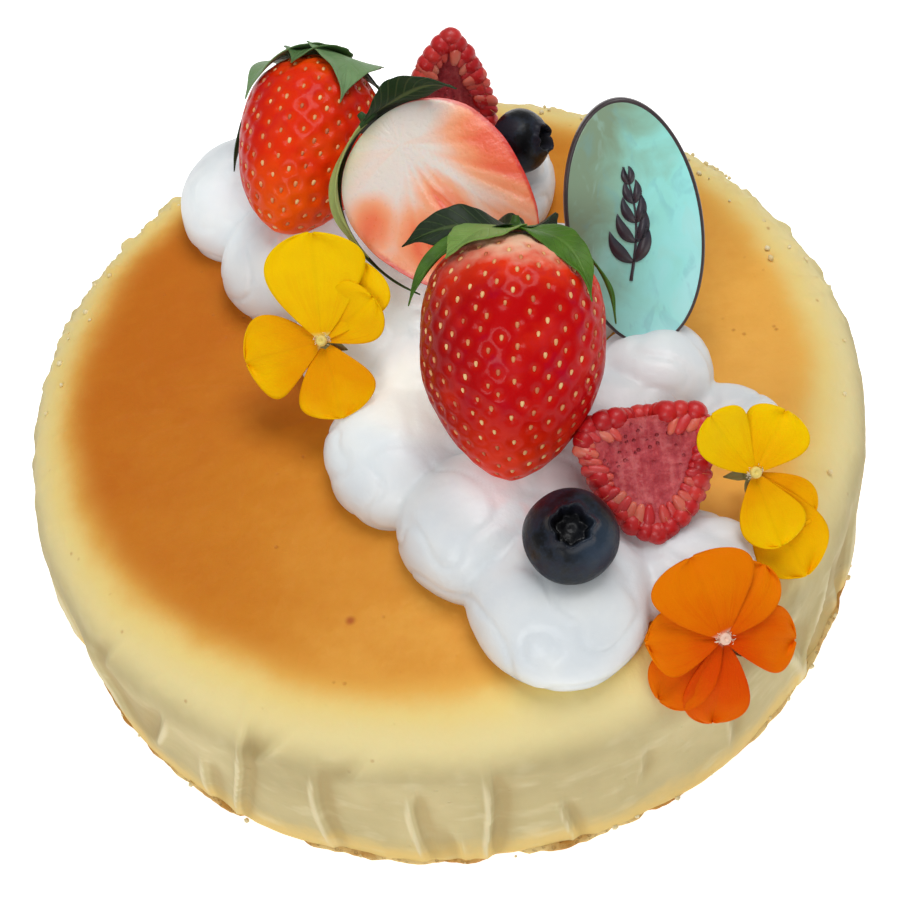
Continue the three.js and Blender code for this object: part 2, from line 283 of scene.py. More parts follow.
def lathe(outline, columns):
    """Rings of points from an outline of (radius, height) that runs upwards."""
    angles = np.linspace(0, 2 * math.pi, columns, endpoint=False)
    outline = np.asarray(outline, float)
    radii = outline[:, :1]
    heights = np.repeat(outline[:, 1:], columns, 1)
    return np.dstack([radii * np.cos(angles), radii * np.sin(angles), heights])


def evenly_spaced(outline, count):
    """The same outline with `count` points an even way apart."""
    travelled = np.concatenate([[0], np.cumsum(np.hypot(*np.diff(outline, axis=0).T))])
    wanted = np.linspace(0, travelled[-1], count)
    return np.column_stack([np.interp(wanted, travelled, outline[:, axis]) for axis in (0, 1)])


def half_rings(radii, heights, arc, chord):
    """Rings round a kept half and back across its cut, and how far across the cut their points lie."""
    turns = np.linspace(math.pi, 2 * math.pi, arc)
    across = np.cos(np.linspace(0, math.pi, chord + 2)[1:-1])
    x = np.hstack([radii * np.cos(turns), radii * across])
    y = np.hstack([radii * np.sin(turns), 0 * radii * across])
    return np.dstack([x, y, np.repeat(heights, arc + chord, 1)]), across


class Shape:
    """Points and faces that grow part by part, with named numbers (marks) on each point."""

    def __init__(self):
        self.points = []
        self.faces = []
        self.marks = {}
        self.count = 0

    def add(self, points, faces, **marks):
        """Adds one part; each mark is one number for all its points, or one for each."""
        points = np.asarray(points, float).reshape(-1, 3)
        self.faces += [tuple(corner + self.count for corner in face) for face in faces]
        self.points.append(points)
        for key, numbers in marks.items():
            self.marks.setdefault(key, []).append(np.broadcast_to(np.asarray(numbers, float), len(points)))
        self.count += len(points)
        return self

    def piece(self, name, material=None):
        """The finished mesh object, in metres."""
        mesh = bpy.data.meshes.new(name)
        mesh.from_pydata((np.vstack(self.points) * MM).tolist(), [], self.faces)
        mesh.polygons.foreach_set("use_smooth", [True] * len(mesh.polygons))
        for key, numbers in self.marks.items():
            layer = mesh.attributes.new(key, "FLOAT", "POINT")
            layer.data.foreach_set("value", np.concatenate(numbers).astype(np.float32))
        if material:
            mesh.materials.append(material)
        piece = bpy.data.objects.new(name, mesh)
        bpy.context.scene.collection.objects.link(piece)
        return piece


def finished(piece):
    """The same object with its modifiers made into plain mesh."""
    evaluated = piece.evaluated_get(bpy.context.evaluated_depsgraph_get())
    mesh = bpy.data.meshes.new_from_object(evaluated)
    piece.modifiers.clear()
    piece.data = mesh
    return piece


def thicken(piece, thickness, levels=0):
    """Gives a thin sheet its thickness, half on each side, and rounds it by subdivision."""
    wall = piece.modifiers.new("thickness", "SOLIDIFY")
    wall.thickness = thickness * MM
    wall.offset = 0
    wall.use_even_offset = False
    if levels:
        round_off = piece.modifiers.new("rounding", "SUBSURF")
        round_off.levels = levels
        round_off.render_levels = levels
    return finished(piece)


def claim(piece, node):
    """The piece rides on the cake and stands for its node."""
    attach(piece, "root")
    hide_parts(node)
    return piece


# ---- scattering by Geometry Nodes ----
class Scatter:
    """A tree that puts a small shape on each point of a mesh, turned by the points' own directions."""

    def __init__(self):
        self.tree = bpy.data.node_groups.new("scatter_on_points", "GeometryNodeTree")
        self.names = {}
        for name, kind in [
            ("Geometry", "NodeSocketGeometry"),
            ("Small shape", "NodeSocketObject"),
            ("Smallest scale", "NodeSocketFloat"),
            ("Largest scale", "NodeSocketFloat"),
            ("Seed", "NodeSocketInt"),
            ("Finish", "NodeSocketMaterial"),
        ]:
            socket = self.tree.interface.new_socket(name, in_out="INPUT", socket_type=kind)
            self.names[name] = socket.identifier
        self.tree.interface.new_socket("Geometry", in_out="OUTPUT", socket_type="NodeSocketGeometry")
        given = self.tree.nodes.new("NodeGroupInput").outputs
        shape = self.node("GeometryNodeObjectInfo", {}, {"Object": given["Small shape"]})
        scale = self.node(
            "FunctionNodeRandomValue",
            {"data_type": "FLOAT"},
            {2: given["Smallest scale"], 3: given["Largest scale"], "Seed": given["Seed"]},
        )
        turn = self.node(
            "FunctionNodeAxesToRotation",
            {"primary_axis": "Z", "secondary_axis": "Y"},
            {0: self.direction("outward"), 1: self.direction("onward")},
        )
        copies = self.node(
            "GeometryNodeInstanceOnPoints",
            {},
            {
                "Points": given["Geometry"],
                "Instance": shape.outputs["Geometry"],
                "Rotation": turn.outputs[0],
                "Scale": scale.outputs[1],
            },
        )
        joined = self.node("GeometryNodeRealizeInstances", {}, {0: copies.outputs[0]})
        painted = self.node(
            "GeometryNodeSetMaterial", {}, {"Geometry": joined.outputs[0], "Material": given["Finish"]}
        )
        end = self.tree.nodes.new("NodeGroupOutput")
        self.tree.links.new(painted.outputs[0], end.inputs[0])

    def node(self, kind, settings, links):
        """A node with its settings, then its links."""
        node = self.tree.nodes.new(kind)
        for key, value in settings.items():
            setattr(node, key, value)
        for key, source in links.items():
            self.tree.links.new(source, node.inputs[key])
        return node

    def direction(self, name):
        """The direction of that name that each point carries."""
        node = self.tree.nodes.new("GeometryNodeInputNamedAttribute")
        node.data_type = "FLOAT_VECTOR"
        node.inputs["Name"].default_value = name
        return node.outputs[0]

    def grow(self, name, spots, shape, material, scales=(1, 1), seed=1):
        """One mesh of many copies; each spot is a place, an outward and an onward direction."""
        places, outward, onward = (np.array(part, np.float32) for part in zip(*spots))
        carrier = Shape().add(places, []).piece(name)
        for key, directions in (("outward", outward), ("onward", onward)):
            layer = carrier.data.attributes.new(key, "FLOAT_VECTOR", "POINT")
            layer.data.foreach_set("vector", directions.ravel())
        seedling = shape.piece(name + "_shape")
        modifier = carrier.modifiers.new("scatter", "NODES")
        modifier.node_group = self.tree
        modifier[self.names["Small shape"]] = seedling
        modifier[self.names["Smallest scale"]] = float(scales[0])
        modifier[self.names["Largest scale"]] = float(scales[1])
        modifier[self.names["Seed"]] = seed
        modifier[self.names["Finish"]] = material
        bpy.context.view_layer.update()
        finished(carrier)
        for key in ("outward", "onward"):
            if key in carrier.data.attributes:
                carrier.data.attributes.remove(carrier.data.attributes[key])
        bpy.data.objects.remove(seedling)
        return carrier


def ball(long, wide, high, columns=10, rows=5, taper=0.0):
    """A small ellipsoid that is longest along +Y; `taper` makes its +Y end the thinner one."""
    angles = np.linspace(0, math.pi, rows + 2)[1:-1]
    rings = lathe([(math.sin(a), -math.cos(a)) for a in angles], columns)
    points, faces = skin(rings)
    slim = 1 - taper * points[:, 2]
    shaped = np.column_stack([points[:, 1] * wide * slim, points[:, 2] * long, points[:, 0] * high * slim])
    return Shape().add(shaped, faces)


def hair(length, radius, bend):
    """A fine hair along +Z that leans over towards +Y."""
    rows = 4
    shares = np.linspace(0, 1, rows)
    rings = lathe([(radius * (1 - 0.8 * s), length * s) for s in shares], 4)
    rings[:, :, 1] += bend * rings[:, :, 2] ** 2 / length
    points, faces = skin(rings)
    return Shape().add(points, faces)


# ---- paint ----
def tone(text):
    """A linear colour from a hexadecimal one."""
    parts = [int(text[i : i + 2], 16) / 255 for i in (1, 3, 5)]
    return tuple(p / 12.92 if p <= 0.04045 else ((p + 0.055) / 1.055) ** 2.4 for p in parts) + (1.0,)


class Value:
    """A number that varies over a surface; each sum or product adds a Math node to its paint."""

    def __init__(self, paint, socket):
        self.paint = paint
        self.socket = socket

    def maths(self, operation, first, second):
        return self.paint.node("ShaderNodeMath", {"operation": operation}, {0: first, 1: second})

    def __add__(self, other):
        return self.maths("ADD", self, other)

    def __radd__(self, other):
        return self.maths("ADD", other, self)

    def __sub__(self, other):
        return self.maths("SUBTRACT", self, other)

    def __rsub__(self, other):
        return self.maths("SUBTRACT", other, self)

    def __mul__(self, other):
        return self.maths("MULTIPLY", self, other)

    def __pow__(self, other):
        return self.maths("POWER", self, other)


class Paint:
    """A material in the making. `place` is the point on the surface, in millimetres."""

    def __init__(self, name, **constants):
        self.material = bpy.data.materials.new(name)
        self.material.use_nodes = True
        self.tree = self.material.node_tree
        self.shader = self.tree.nodes["Principled BSDF"]
        for key, value in constants.items():
            self.shader.inputs[key.replace("_", " ").title().replace("Ior", "IOR")].default_value = value
        point = self.node("ShaderNodeTexCoord", out="Object")
        self.place = self.node(
            "ShaderNodeVectorMath", {"operation": "MULTIPLY"}, {0: point, 1: (1 / MM, 1 / MM, 1 / MM)}
        )

    def node(self, kind, settings=None, values=None, out=0):
        """Adds a node: first its settings, then the values or links of its sockets."""
        node = self.tree.nodes.new(kind)
        for key, value in (settings or {}).items():
            if key == "stops":
                self.set_stops(node.color_ramp, value)
            else:
                setattr(node, key, value)
        for key, value in (values or {}).items():
            self.feed(node.inputs[key], value)
        return Value(self, node.outputs[out])

    def set_stops(self, ramp, stops):
        while len(ramp.elements) < len(stops):
            ramp.elements.new(1)
        for element, (position, colour) in zip(ramp.elements, stops):
            element.position = position
            element.color = colour

    def feed(self, socket, value):
        if isinstance(value, Value):
            self.tree.links.new(value.socket, socket)
        else:
            socket.default_value = value

    def paints(self, **looks):
        """Links the varying looks to the shader and gives the finished material."""
        for key, value in looks.items():
            self.feed(self.shader.inputs[key.replace("_", " ").title()], value)
        return self.material

    def axes(self):
        point = self.node("ShaderNodeSeparateXYZ", {}, {0: self.place})
        split = point.socket.node.outputs
        return tuple(Value(self, split[i]) for i in range(3))

    def mark(self, name):
        """A number that the mesh carries under this name."""
        return self.node("ShaderNodeAttribute", {"attribute_name": name}, out="Fac")

    def stretched(self, x, y, z):
        """The place, squeezed along each axis."""
        return self.node("ShaderNodeVectorMath", {"operation": "MULTIPLY"}, {0: self.place, 1: (x, y, z)})

    def noise(self, size, detail=2.0, place=None, roughness=0.5, distortion=0.0):
        """Cloudy noise round 0.5, in blobs of about `size`."""
        values = {
            "Vector": place or self.place,
            "Scale": 1 / size,
            "Detail": detail,
            "Roughness": roughness,
            "Distortion": distortion,
        }
        return self.node("ShaderNodeTexNoise", {}, values)

    def cells(self, size):
        """The distance from the middle of the nearest of many cells of about `size`."""
        values = {"Vector": self.place, "Scale": 1 / size, "Randomness": 1.0}
        return self.node("ShaderNodeTexVoronoi", {"feature": "F1"}, values, "Distance")

    def smooth(self, value, low, high):
        """0 at `low` and 1 at `high`, with a soft step between; `low` may be the larger."""
        values = {"Value": value, "From Min": low, "From Max": high, "To Min": 0.0, "To Max": 1.0}
        return self.node("ShaderNodeMapRange", {"interpolation_type": "SMOOTHSTEP"}, values)

    def near(self, spot, reach, fade=0.0):
        """1 within `fade` of a spot, down to 0 at `reach` from it."""
        away = self.node("ShaderNodeVectorMath", {"operation": "DISTANCE"}, {0: self.place, 1: spot}, "Value")
        return self.smooth(away, reach, fade)

    def mix(self, share, low, high):
        return self.node("ShaderNodeMix", {"data_type": "RGBA"}, {0: share, 6: low, 7: high}, 2)

    def ramp(self, value, *stops):
        return self.node("ShaderNodeValToRGB", {"stops": stops}, {"Fac": value})

    def bump(self, height, depth):
        """The surface's normal over a relief of `depth` millimetres."""
        values = {"Height": height, "Distance": depth * MM, "Strength": 1.0}
        return self.node("ShaderNodeBump", {}, values)


# ---- finishes ----
def cake_finish():
    """Pale custard-coloured sides that brown over the top, deepest at the back left, with painted shade in
    the pleats' troughs and painted highlights on their crests.
    """
    paint = Paint("cheesecake_crust", subsurface_weight=0.08, subsurface_scale=0.002, specular_ior_level=0.15)
    x, y, z = paint.axes()
    radius = (x * x + y * y) ** 0.5
    cloud = paint.noise(26, 3)
    mottle = paint.noise(5, 4, roughness=0.6)
    edge = radius + (cloud - 0.5) * 4.5 + (mottle - 0.5) * 2
    edge = edge - paint.smooth(x - y * 0.3, 5, -62) * 2.4
    baked = paint.smooth(edge, 71.5, 54)
    deep_side = paint.smooth(x * -0.78 + y * 0.62 + (cloud - 0.5) * 40, -62, 58)
    streaks = paint.noise(9, 3, paint.stretched(0.45, 1, 1))
    brown_depth = deep_side + (mottle - 0.5) * 0.32 + (streaks - 0.5) * 0.3
    brown = paint.ramp(
        brown_depth,
        (0.0, tone("#efb04c")),
        (0.35, tone("#db9230")),
        (0.62, tone("#d0801e")),
        (1.0, tone("#c46c14")),
    )
    pale_top = paint.ramp(
        baked,
        (0.0, tone("#eddca0")),
        (0.25, tone("#f0d688")),
        (0.6, tone("#eebc5c")),
        (0.9, tone("#e8a848")),
    )
    top = paint.mix(paint.smooth(baked, 0.3, 0.98), pale_top, brown)
    speck = paint.near((-19.6, -46.5, CAKE_TOP), 1.2, 0.2) * 0.8
    top = paint.mix(speck, top, tone("#a8481a"))
    pores = paint.smooth(paint.cells(3.1), 0.16, 0.02) * paint.smooth(paint.noise(7, 1), 0.52, 0.64)
    top = paint.mix(pores * 0.5, top, tone("#b4692a"))
    patches = paint.noise(17, 3)
    side = paint.ramp(patches, (0.3, tone("#b6a678")), (0.5, tone("#c0b080")), (0.72, tone("#ccbc8c")))
    warm_foot = paint.smooth(z + (mottle - 0.5) * 6, 10, 2.5)
    side = paint.mix(warm_foot * 0.8, side, tone("#e8c676"))
    smears = paint.smooth(paint.noise(8, 2, paint.stretched(1, 1, 1.8)), 0.52, 0.74)
    side = paint.mix(smears * 0.32, side, tone("#e2d6ac"))
    fold = paint.mark("fold")
    # painted shade in each pleat's trough, then a painted highlight along its crest
    side = paint.mix(paint.smooth(fold, -0.08, -0.6) * 0.5, side, tone("#a48a56"))
    side = paint.mix(paint.smooth(fold, 0.12, 0.6) * 0.6, side, tone("#e8dcb4"))
    on_top = paint.smooth(z, CAKE_TOP - 9, CAKE_TOP - 2.5)
    paper = paint.noise(3.2, 3, paint.stretched(1, 1, 0.16)) * (1 - baked)
    grain = paint.noise(0.7, 3) * 0.35 + paint.noise(2.4, 3) * 0.65 + paper * 1.6 - pores * 0.8
    return paint.paints(
        base_color=paint.mix(on_top, side, top),
        roughness=0.72 - baked * 0.24,
        normal=paint.bump(grain, 0.16),
    )


def base_finish():
    """Dry golden sponge, browned in patches along its edge."""
    paint = Paint("sponge_base_crumb")
    cloud = paint.noise(12, 3)
    grain = paint.noise(0.9, 4, roughness=0.7)
    brown = paint.smooth(cloud + (grain - 0.5) * 0.2, 0.4, 0.58)
    colour = paint.mix(brown, tone("#e6c884"), tone("#c28a3a"))
    holes = paint.smooth(paint.cells(1.1), 0.34, 0.2)
    colour = paint.mix(holes * 0.25, colour, tone("#a06c28"))
    return paint.paints(base_color=colour, roughness=0.9, normal=paint.bump(grain - holes, 0.2))


def crumb_finish():
    paint = Paint("cake_crumbs")
    shade = paint.noise(3, 2)
    colour = paint.ramp(shade, (0.35, tone("#f2e6bc")), (0.6, tone("#ecd8a0")), (0.78, tone("#e0bf7c")))
    return paint.paints(base_color=colour, roughness=0.85, normal=paint.bump(paint.noise(0.4, 2), 0.1))


def cream_finish():
    """White cream, ivory between the flower and the fruit where painted warm light lifts its shade, tinted
    pink where juice has run, and given a faint painted glow that lifts its shade near the fruit.
    """
    paint = Paint(
        "whipped_cream",
        subsurface_weight=0.5,
        subsurface_scale=0.006,
        subsurface_radius=(1.0, 0.98, 0.96),
        # painted glow: this emission makes the cream give off a little light of its own, to lift its shade
        emission_strength=0.26,
        coat_weight=0.12,
        coat_roughness=0.3,
    )
    cloud = paint.noise(9, 3)
    white = paint.mix(paint.smooth(cloud, 0.35, 0.7), tone("#dde3e7"), tone("#e5e9ea"))
    # painted warm light: the cream between the flower and the fruit is lightened to ivory to lift the shade
    # there
    ivory = paint.near((-3, -12, 50), 13, 4) * 0.85
    white = paint.mix(ivory, white, tone("#fffbec"))
    # painted warm light: a second ivory patch, right of the front strawberry, stands for warm light bounced
    # off the berries
    ivory_back = paint.near((29, 2, 52), 9, 3) * 0.6
    white = paint.mix(ivory_back, white, tone("#f2e6cf"))
    juice = paint.near((10, -37, 51), 7.5, 2) * paint.smooth(paint.noise(4, 2), 0.35, 0.7)
    white = paint.mix(juice * 0.5, white, tone("#eeb4b0"))
    smear = paint.near((-22, 22, 54), 6, 1) * paint.smooth(paint.noise(2.2, 2), 0.5, 0.6)
    white = paint.mix(smear * 0.4, white, tone("#f0c0b8"))
    fine = paint.noise(1.1, 3) * 0.4 + paint.noise(4.5, 2)
    # painted glow: the cream glows pale where the fruit shades it, most round the middle, near the front
    # berry and by the back strawberry
    hollow = paint.near((2, -2, 50), 36, 14)
    inner = paint.mix(hollow, tone("#000000"), tone("#dcecea"))
    inner = paint.mix(paint.near((-6, 22, 50), 22, 9), inner, tone("#e4f2f2"))
    inner = paint.mix(paint.near((7, -31, 50), 12, 4), inner, tone("#ffffff"))
    inner = paint.mix(paint.near((-30, 37, 48), 16, 6) * 0.8, inner, tone("#e4f4f6"))
    return paint.paints(base_color=white, roughness=0.42, emission_color=inner, normal=paint.bump(fine, 0.22))


# ---- sponge base and cheesecake ----
def ragged_base():
    """The thin sponge disc, torn a little unevenly round its edge."""
    disc_radius = 74
    underside = [(40, 0), (72.3, 0), (73.4, 0.12)]
    edge = [(73.8, 0.5), (disc_radius, 1.0), (73.9, 1.6), (73.4, 2.1)]
    top = [(72, 2.4), (40, 2.4)]
    rings = lathe(underside + edge + top, 720)
    outer = smooth(np.hypot(rings[..., 0], rings[..., 1]), disc_radius - 3, disc_radius)
    flat = rings.reshape(-1, 3)
    torn = 0.6 * ripple(flat, 5, 3) + 0.25 * ripple(flat * (1, 1, 0.3), 1.5, 4)
    torn -= 1.3 * smooth(ripple(flat * (1, 1, 0.05), 7, 6), 0.1, 0.5)
    factor = 1 + (torn.reshape(outer.shape) * outer) / disc_radius
    rings[..., 0] *= factor
    rings[..., 1] *= factor
    lift = 0.5 * ripple(flat * (1, 1, 0), 2.2, 7).reshape(outer.shape)
    rings[..., 2] += lift * outer * smooth(rings[..., 2], 0.8, 2.8)
    return Shape().add(*skin(rings))


def wall_pleats():
    """The listed pleats, and the spare ones for the rest of the wall."""
    drawn = random.Random(12)
    pleats = list(PLEATS)
    for i in range(SPARE_PLEATS):
        direction = -50 + 262 * (i + drawn.random()) / SPARE_PLEATS
        top = drawn.uniform(16, 38)
        foot = drawn.choice((3, 3, 3, drawn.uniform(6, 14)))
        lean = drawn.gauss(0, 0.16)
        height = drawn.uniform(0.35, 1.1)
        pleats.append((direction, top, foot, lean, drawn.uniform(0.9, 1.9), height, drawn.choice((-1, 1))))
    return pleats


def cake_body():
    """The souffle body: a creased wall, a soft shoulder with torn skin, and a gently wavy top."""
    columns = 640
    shoulder_foot = CAKE_TOP - SHOULDER_RADIUS
    underside = [(30, 1.6), (73.2, 1.6)]
    wall = [(WALL_RADIUS, z) for z in np.linspace(BODY_FOOT, shoulder_foot, 36)[:-1]]
    bend = np.linspace(0, math.pi / 2, 28)
    shoulder = [
        (WALL_RADIUS - SHOULDER_RADIUS * (1 - math.cos(a)), shoulder_foot + SHOULDER_RADIUS * math.sin(a))
        for a in bend
    ]
    top = [(r, CAKE_TOP) for r in np.linspace(WALL_RADIUS - SHOULDER_RADIUS, 1, 60)[1:]]
    rings = lathe(underside + wall + shoulder + top, columns)
    slope = np.concatenate([np.zeros(len(underside + wall)), bend, np.full(len(top), math.pi / 2)])[:, None]
    angles = np.linspace(0, 2 * math.pi, columns, endpoint=False)[None, :]
    height = rings[..., 2]
    shape = height.shape
    flat = rings.reshape(-1, 3)
    on_wall = np.clip((CAKE_TOP - height) / SHOULDER_RADIUS, 0, 1)
    dents = 0.5 * np.sin(5 * angles + 1) + 0.3 * np.sin(9 * angles) + 0.2 * np.sin(17 * angles)
    push = CREASE_DEPTH * dents * on_wall
    folds = np.zeros(shape)
    for direction, high, foot, lean, width, rise, side in wall_pleats():
        turn = angles - math.radians(direction) + 2 * math.pi
        across = ((turn + math.pi) % (2 * math.pi) - math.pi) * WALL_RADIUS
        across = across - lean * (height - (high + foot) / 2)
        across = across + 0.8 * np.sin(height * 0.13 + direction)
        reach = smooth(height, foot - 6, foot + 5) * (1 - smooth(height, high - 12, high + 2))
        fold = hump(across, width) - 0.7 * hump(across - side * 2.2 * width, 1.9 * width)
        beyond = across * side
        fold = fold - 0.35 * smooth(beyond, 0, 0.5 * width) * hump(beyond - 3 * width, 5 * width)
        folds = folds + rise * fold * reach * smooth(on_wall, 0.02, 0.3)
    push = push + folds
    squeezed = flat * (1, 1, 0.45)
    uneven = 0.6 * ripple(squeezed, 13, 1) + 0.22 * ripple(squeezed, 4.2, 2)
    push = push + uneven.reshape(shape) * on_wall
    push = push + 0.07 * ripple(flat, 1.5, 8).reshape(shape)
    radius = np.hypot(rings[..., 0], rings[..., 1])
    rim = smooth(radius, 64, 68.5) * smooth(height, 27, 34)
    back_left = hump(np.degrees(angles) - 137, 26)
    right = hump(np.degrees(angles) - 33, 30)
    torn_side = np.clip(0.22 + back_left + right, 0, 1)
    tears = smooth(ripple(flat, 2.6, 9), 0.12, 0.5) * 0.8 + 0.35 * ripple(flat, 0.9, 10)
    push = push + tears.reshape(shape) * rim * torn_side
    rise = -0.35 * smooth(ripple(flat * (1, 1, 0), 22, 11), -0.5, 0.6).reshape(shape)
    ridged = 1 - np.abs(ripple(flat * (0.55, 1, 0), 6.5, 12))
    wrinkle_side = hump(rings[..., 0] + 44, 22) * hump(rings[..., 1] - 12, 24)
    rise = rise + 0.14 * smooth(ridged, 0.86, 1.0).reshape(shape) * wrinkle_side
    rise = rise + 0.05 * ripple(flat * (1, 1, 0), 3, 13).reshape(shape)
    outward = push * np.cos(slope)
    factor = 1 + outward / np.maximum(radius, 20)
    factor[0] = 1
    rings[..., 0] *= factor
    rings[..., 1] *= factor
    upward = push * np.sin(slope) + rise * smooth(height, CAKE_TOP - 3, CAKE_TOP)
    upward[:3] = 0
    rings[..., 2] += upward
    return Shape().add(*skin(rings), fold=np.append(folds.ravel(), [0, 0]))


def crumb_shape():
    """A rough crumb of a couple of dozen faces."""
    crumb = ball(0.5, 0.42, 0.36, 6, 3)
    crumb.points[0] = crumb.points[0] * (1 + 0.3 * ripple(crumb.points[0], 0.35, 21))[:, None]
    return crumb


def crumb_spots():
    """Crumbs along the foot of the wall, and more of them where the rim has torn."""
    drawn = random.Random(5)
    spots = []
    for _ in range(60):
        angle = drawn.uniform(0, 2 * math.pi)
        away = drawn.uniform(73.6, 74.3)
        place = (away * math.cos(angle), away * math.sin(angle), drawn.uniform(1, 2.2))
        spots.append((place, direction_of(drawn), direction_of(drawn)))
    for _ in range(46):
        middle, spread = drawn.choice(((137, 22), (33, 26), (33, 26)))
        angle = math.radians(drawn.gauss(middle, spread))
        bend = drawn.uniform(0.5, 1.45)
        away = WALL_RADIUS - SHOULDER_RADIUS * (1 - math.cos(bend)) + 0.1
        high = CAKE_TOP - SHOULDER_RADIUS * (1 - math.sin(bend)) + 0.2
        place = (away * math.cos(angle), away * math.sin(angle), high)
        spots.append((place, direction_of(drawn), direction_of(drawn)))
    return spots


def direction_of(drawn):
    """A direction drawn at random."""
    return tuple(drawn.gauss(0, 1) for _ in range(3))


# ---- whipped cream ----
def cream_shape():
    """All lumps as overlapping closed skins."""
    cream = Shape()
    for x, y, long, wide, high, turn in CREAM_LUMPS:
        bend = np.linspace(0, math.pi, 26)[1:-1]
        rings = lathe([(math.sin(a), -math.cos(a)) for a in bend], 48)
        points, faces = skin(rings)
        lobe = 1 + 0.035 * np.sin(3 * np.arctan2(points[:, 1], points[:, 0]) + x)
        points = np.column_stack(
            [points[:, 0] * long * lobe, points[:, 1] * wide * lobe, (0.25 + 0.75 * points[:, 2]) * high]
        )
        spun = Matrix.Translation((x, y, CAKE_TOP)) @ Matrix.Rotation(math.radians(turn), 4, "Z")
        cream.add(placed(points, spun), faces)
    return cream


def whipped_cream(material):
    """The lumps grown together, with soft spoon marks, and cut off just under the cake's top."""
    cream = cream_shape().piece("whipped_cream_trail", material)
    melt = cream.modifiers.new("one_skin", "REMESH")
    melt.mode = "VOXEL"
    melt.voxel_size = 0.55 * MM
    melt.use_smooth_shade = True
    soften = cream.modifiers.new("soften", "SMOOTH")
    soften.factor = 0.5
    soften.iterations = 5
    finished(cream)
    mesh = cream.data
    points = np.zeros(len(mesh.vertices) * 3)
    mesh.vertices.foreach_get("co", points)
    points = points.reshape(-1, 3) / MM
    normals = np.zeros(len(mesh.vertices) * 3)
    mesh.vertices.foreach_get("normal", normals)
    normals = normals.reshape(-1, 3)
    swirl = np.abs(ripple(points * (1, 1, 1.4), 9, 31))
    push = 0.4 * ripple(points, 8, 30) - 0.35 * hump(swirl, 0.1) + 0.06 * ripple(points, 2, 32)
    dent = hump(np.linalg.norm(points - (30.5, -56.5, 42), axis=1), 3.2)
    push = push - 1.1 * dent
    points = points + normals * push[:, None]
    floor = CAKE_TOP - 0.7
    points[:, 2] = np.maximum(points[:, 2], floor)
    mesh.vertices.foreach_set("co", (points * MM).ravel())
    mesh.materials.clear()
    mesh.materials.append(material)
    mesh.polygons.foreach_set("use_smooth", [True] * len(mesh.polygons))
    mesh.update()
    return cream


# ---- strawberries ----
def skin_at(fruit, degrees):
    """Radius and height of a strawberry's skin, from its stem (0) to its tip (180)."""
    length, radius = fruit["length"], fruit["radius"]
    angle = math.radians(degrees)
    widest = length * (WIDEST_AT - 0.5)
    if degrees <= 90:
        return radius * math.sin(angle), widest + length * (1 - WIDEST_AT) * max(0.0, math.cos(angle)) ** 0.77
    share = -math.cos(angle)
    return radius * (1 - share**1.9) ** 0.62, widest - length * WIDEST_AT * share


def fruit_frame(fruit):
    return frame_at(fruit["at"], fruit["axis"], fruit.get("face", (0, 0, 1)))


def even_outline(fruit, rows):
    """The skin's outline from tip to stem, its points an even way apart."""
    degrees = np.linspace(179.2, 0.8, 800)
    fine = np.array([skin_at(fruit, d) for d in degrees])
    return evenly_spaced(fine, rows)


def achene_spots(fruit, half=False):
    """Places on the skin in a spiral, with their outward direction and the way to the tip."""
    rows = 600
    outline = even_outline(fruit, rows)
    radii, heights = outline.T
    step = np.hypot(*(outline[1] - outline[0]))
    area = np.cumsum(2 * math.pi * radii * step)
    count = int(area[-1] / (ACHENES_APART * ACHENES_APART))
    drawn = random.Random(int(fruit["length"] * 10))
    spots = []
    for i in range(count):
        share = (i + 0.5) / count
        row = int(np.searchsorted(area, area[-1] * share))
        row = min(max(row, 2), rows - 10)
        if heights[row] > heights[-1] * 0.93:
            continue
        turn = i * math.pi * (3 - math.sqrt(5)) + drawn.gauss(0, 0.035)
        along = outline[row + 3] - outline[row - 2]
        along = along / np.hypot(*along)
        c, s = math.cos(turn), math.sin(turn)
        if half and s > -0.1:
            continue
        place = (radii[row] * c, radii[row] * s, heights[row])
        outward = (along[1] * c, along[1] * s, -along[0])
        onward = (-along[0] * c, -along[0] * s, -along[1])
        spots.append((place, outward, onward))
    return spots


def dimple(points, spots, width, depth):
    """How far each point sinks because of the achenes near it."""
    tree = kdtree.KDTree(len(spots))
    for i, (place, _, _) in enumerate(spots):
        tree.insert(place, i)
    tree.balance()
    away = np.array([tree.find(spot)[2] for spot in points.tolist()])
    swell = 0.07 * smooth(away, width, width * 2.4)
    return depth * hump(away, width) - swell


def swelling(points, seed):
    """How much wider or narrower than its outline a strawberry has grown at each point."""
    return 1 + 0.045 * ripple(points, 14, seed) + 0.012 * ripple(points, 4, seed + 1)


def lumpy(rings, seed):
    """Uneven growth: broad swells round a fruit's axis."""
    swell = swelling(rings, seed).reshape(rings.shape[:2])
    return rings * np.dstack([swell, swell, np.ones_like(swell)])


def on_skin(spots, seed):
    """The same spots after the fruit's uneven growth."""
    grown = []
    for place, outward, onward in spots:
        swell = swelling([place], seed)[0]
        grown.append(((place[0] * swell, place[1] * swell, place[2]), outward, onward))
    return grown


def turned_spots(spots, matrix, sink=0.0):
    """Spots moved to their place on the cake, each sunk a little along its outward direction."""
    turn = np.array(matrix.to_3x3())
    moved = []
    for place, outward, onward in spots:
        outward = turn @ np.array(outward)
        outward = outward / np.linalg.norm(outward)
        at = placed([place], matrix)[0] - outward * sink
        moved.append((at, outward, turn @ np.array(onward)))
    return moved


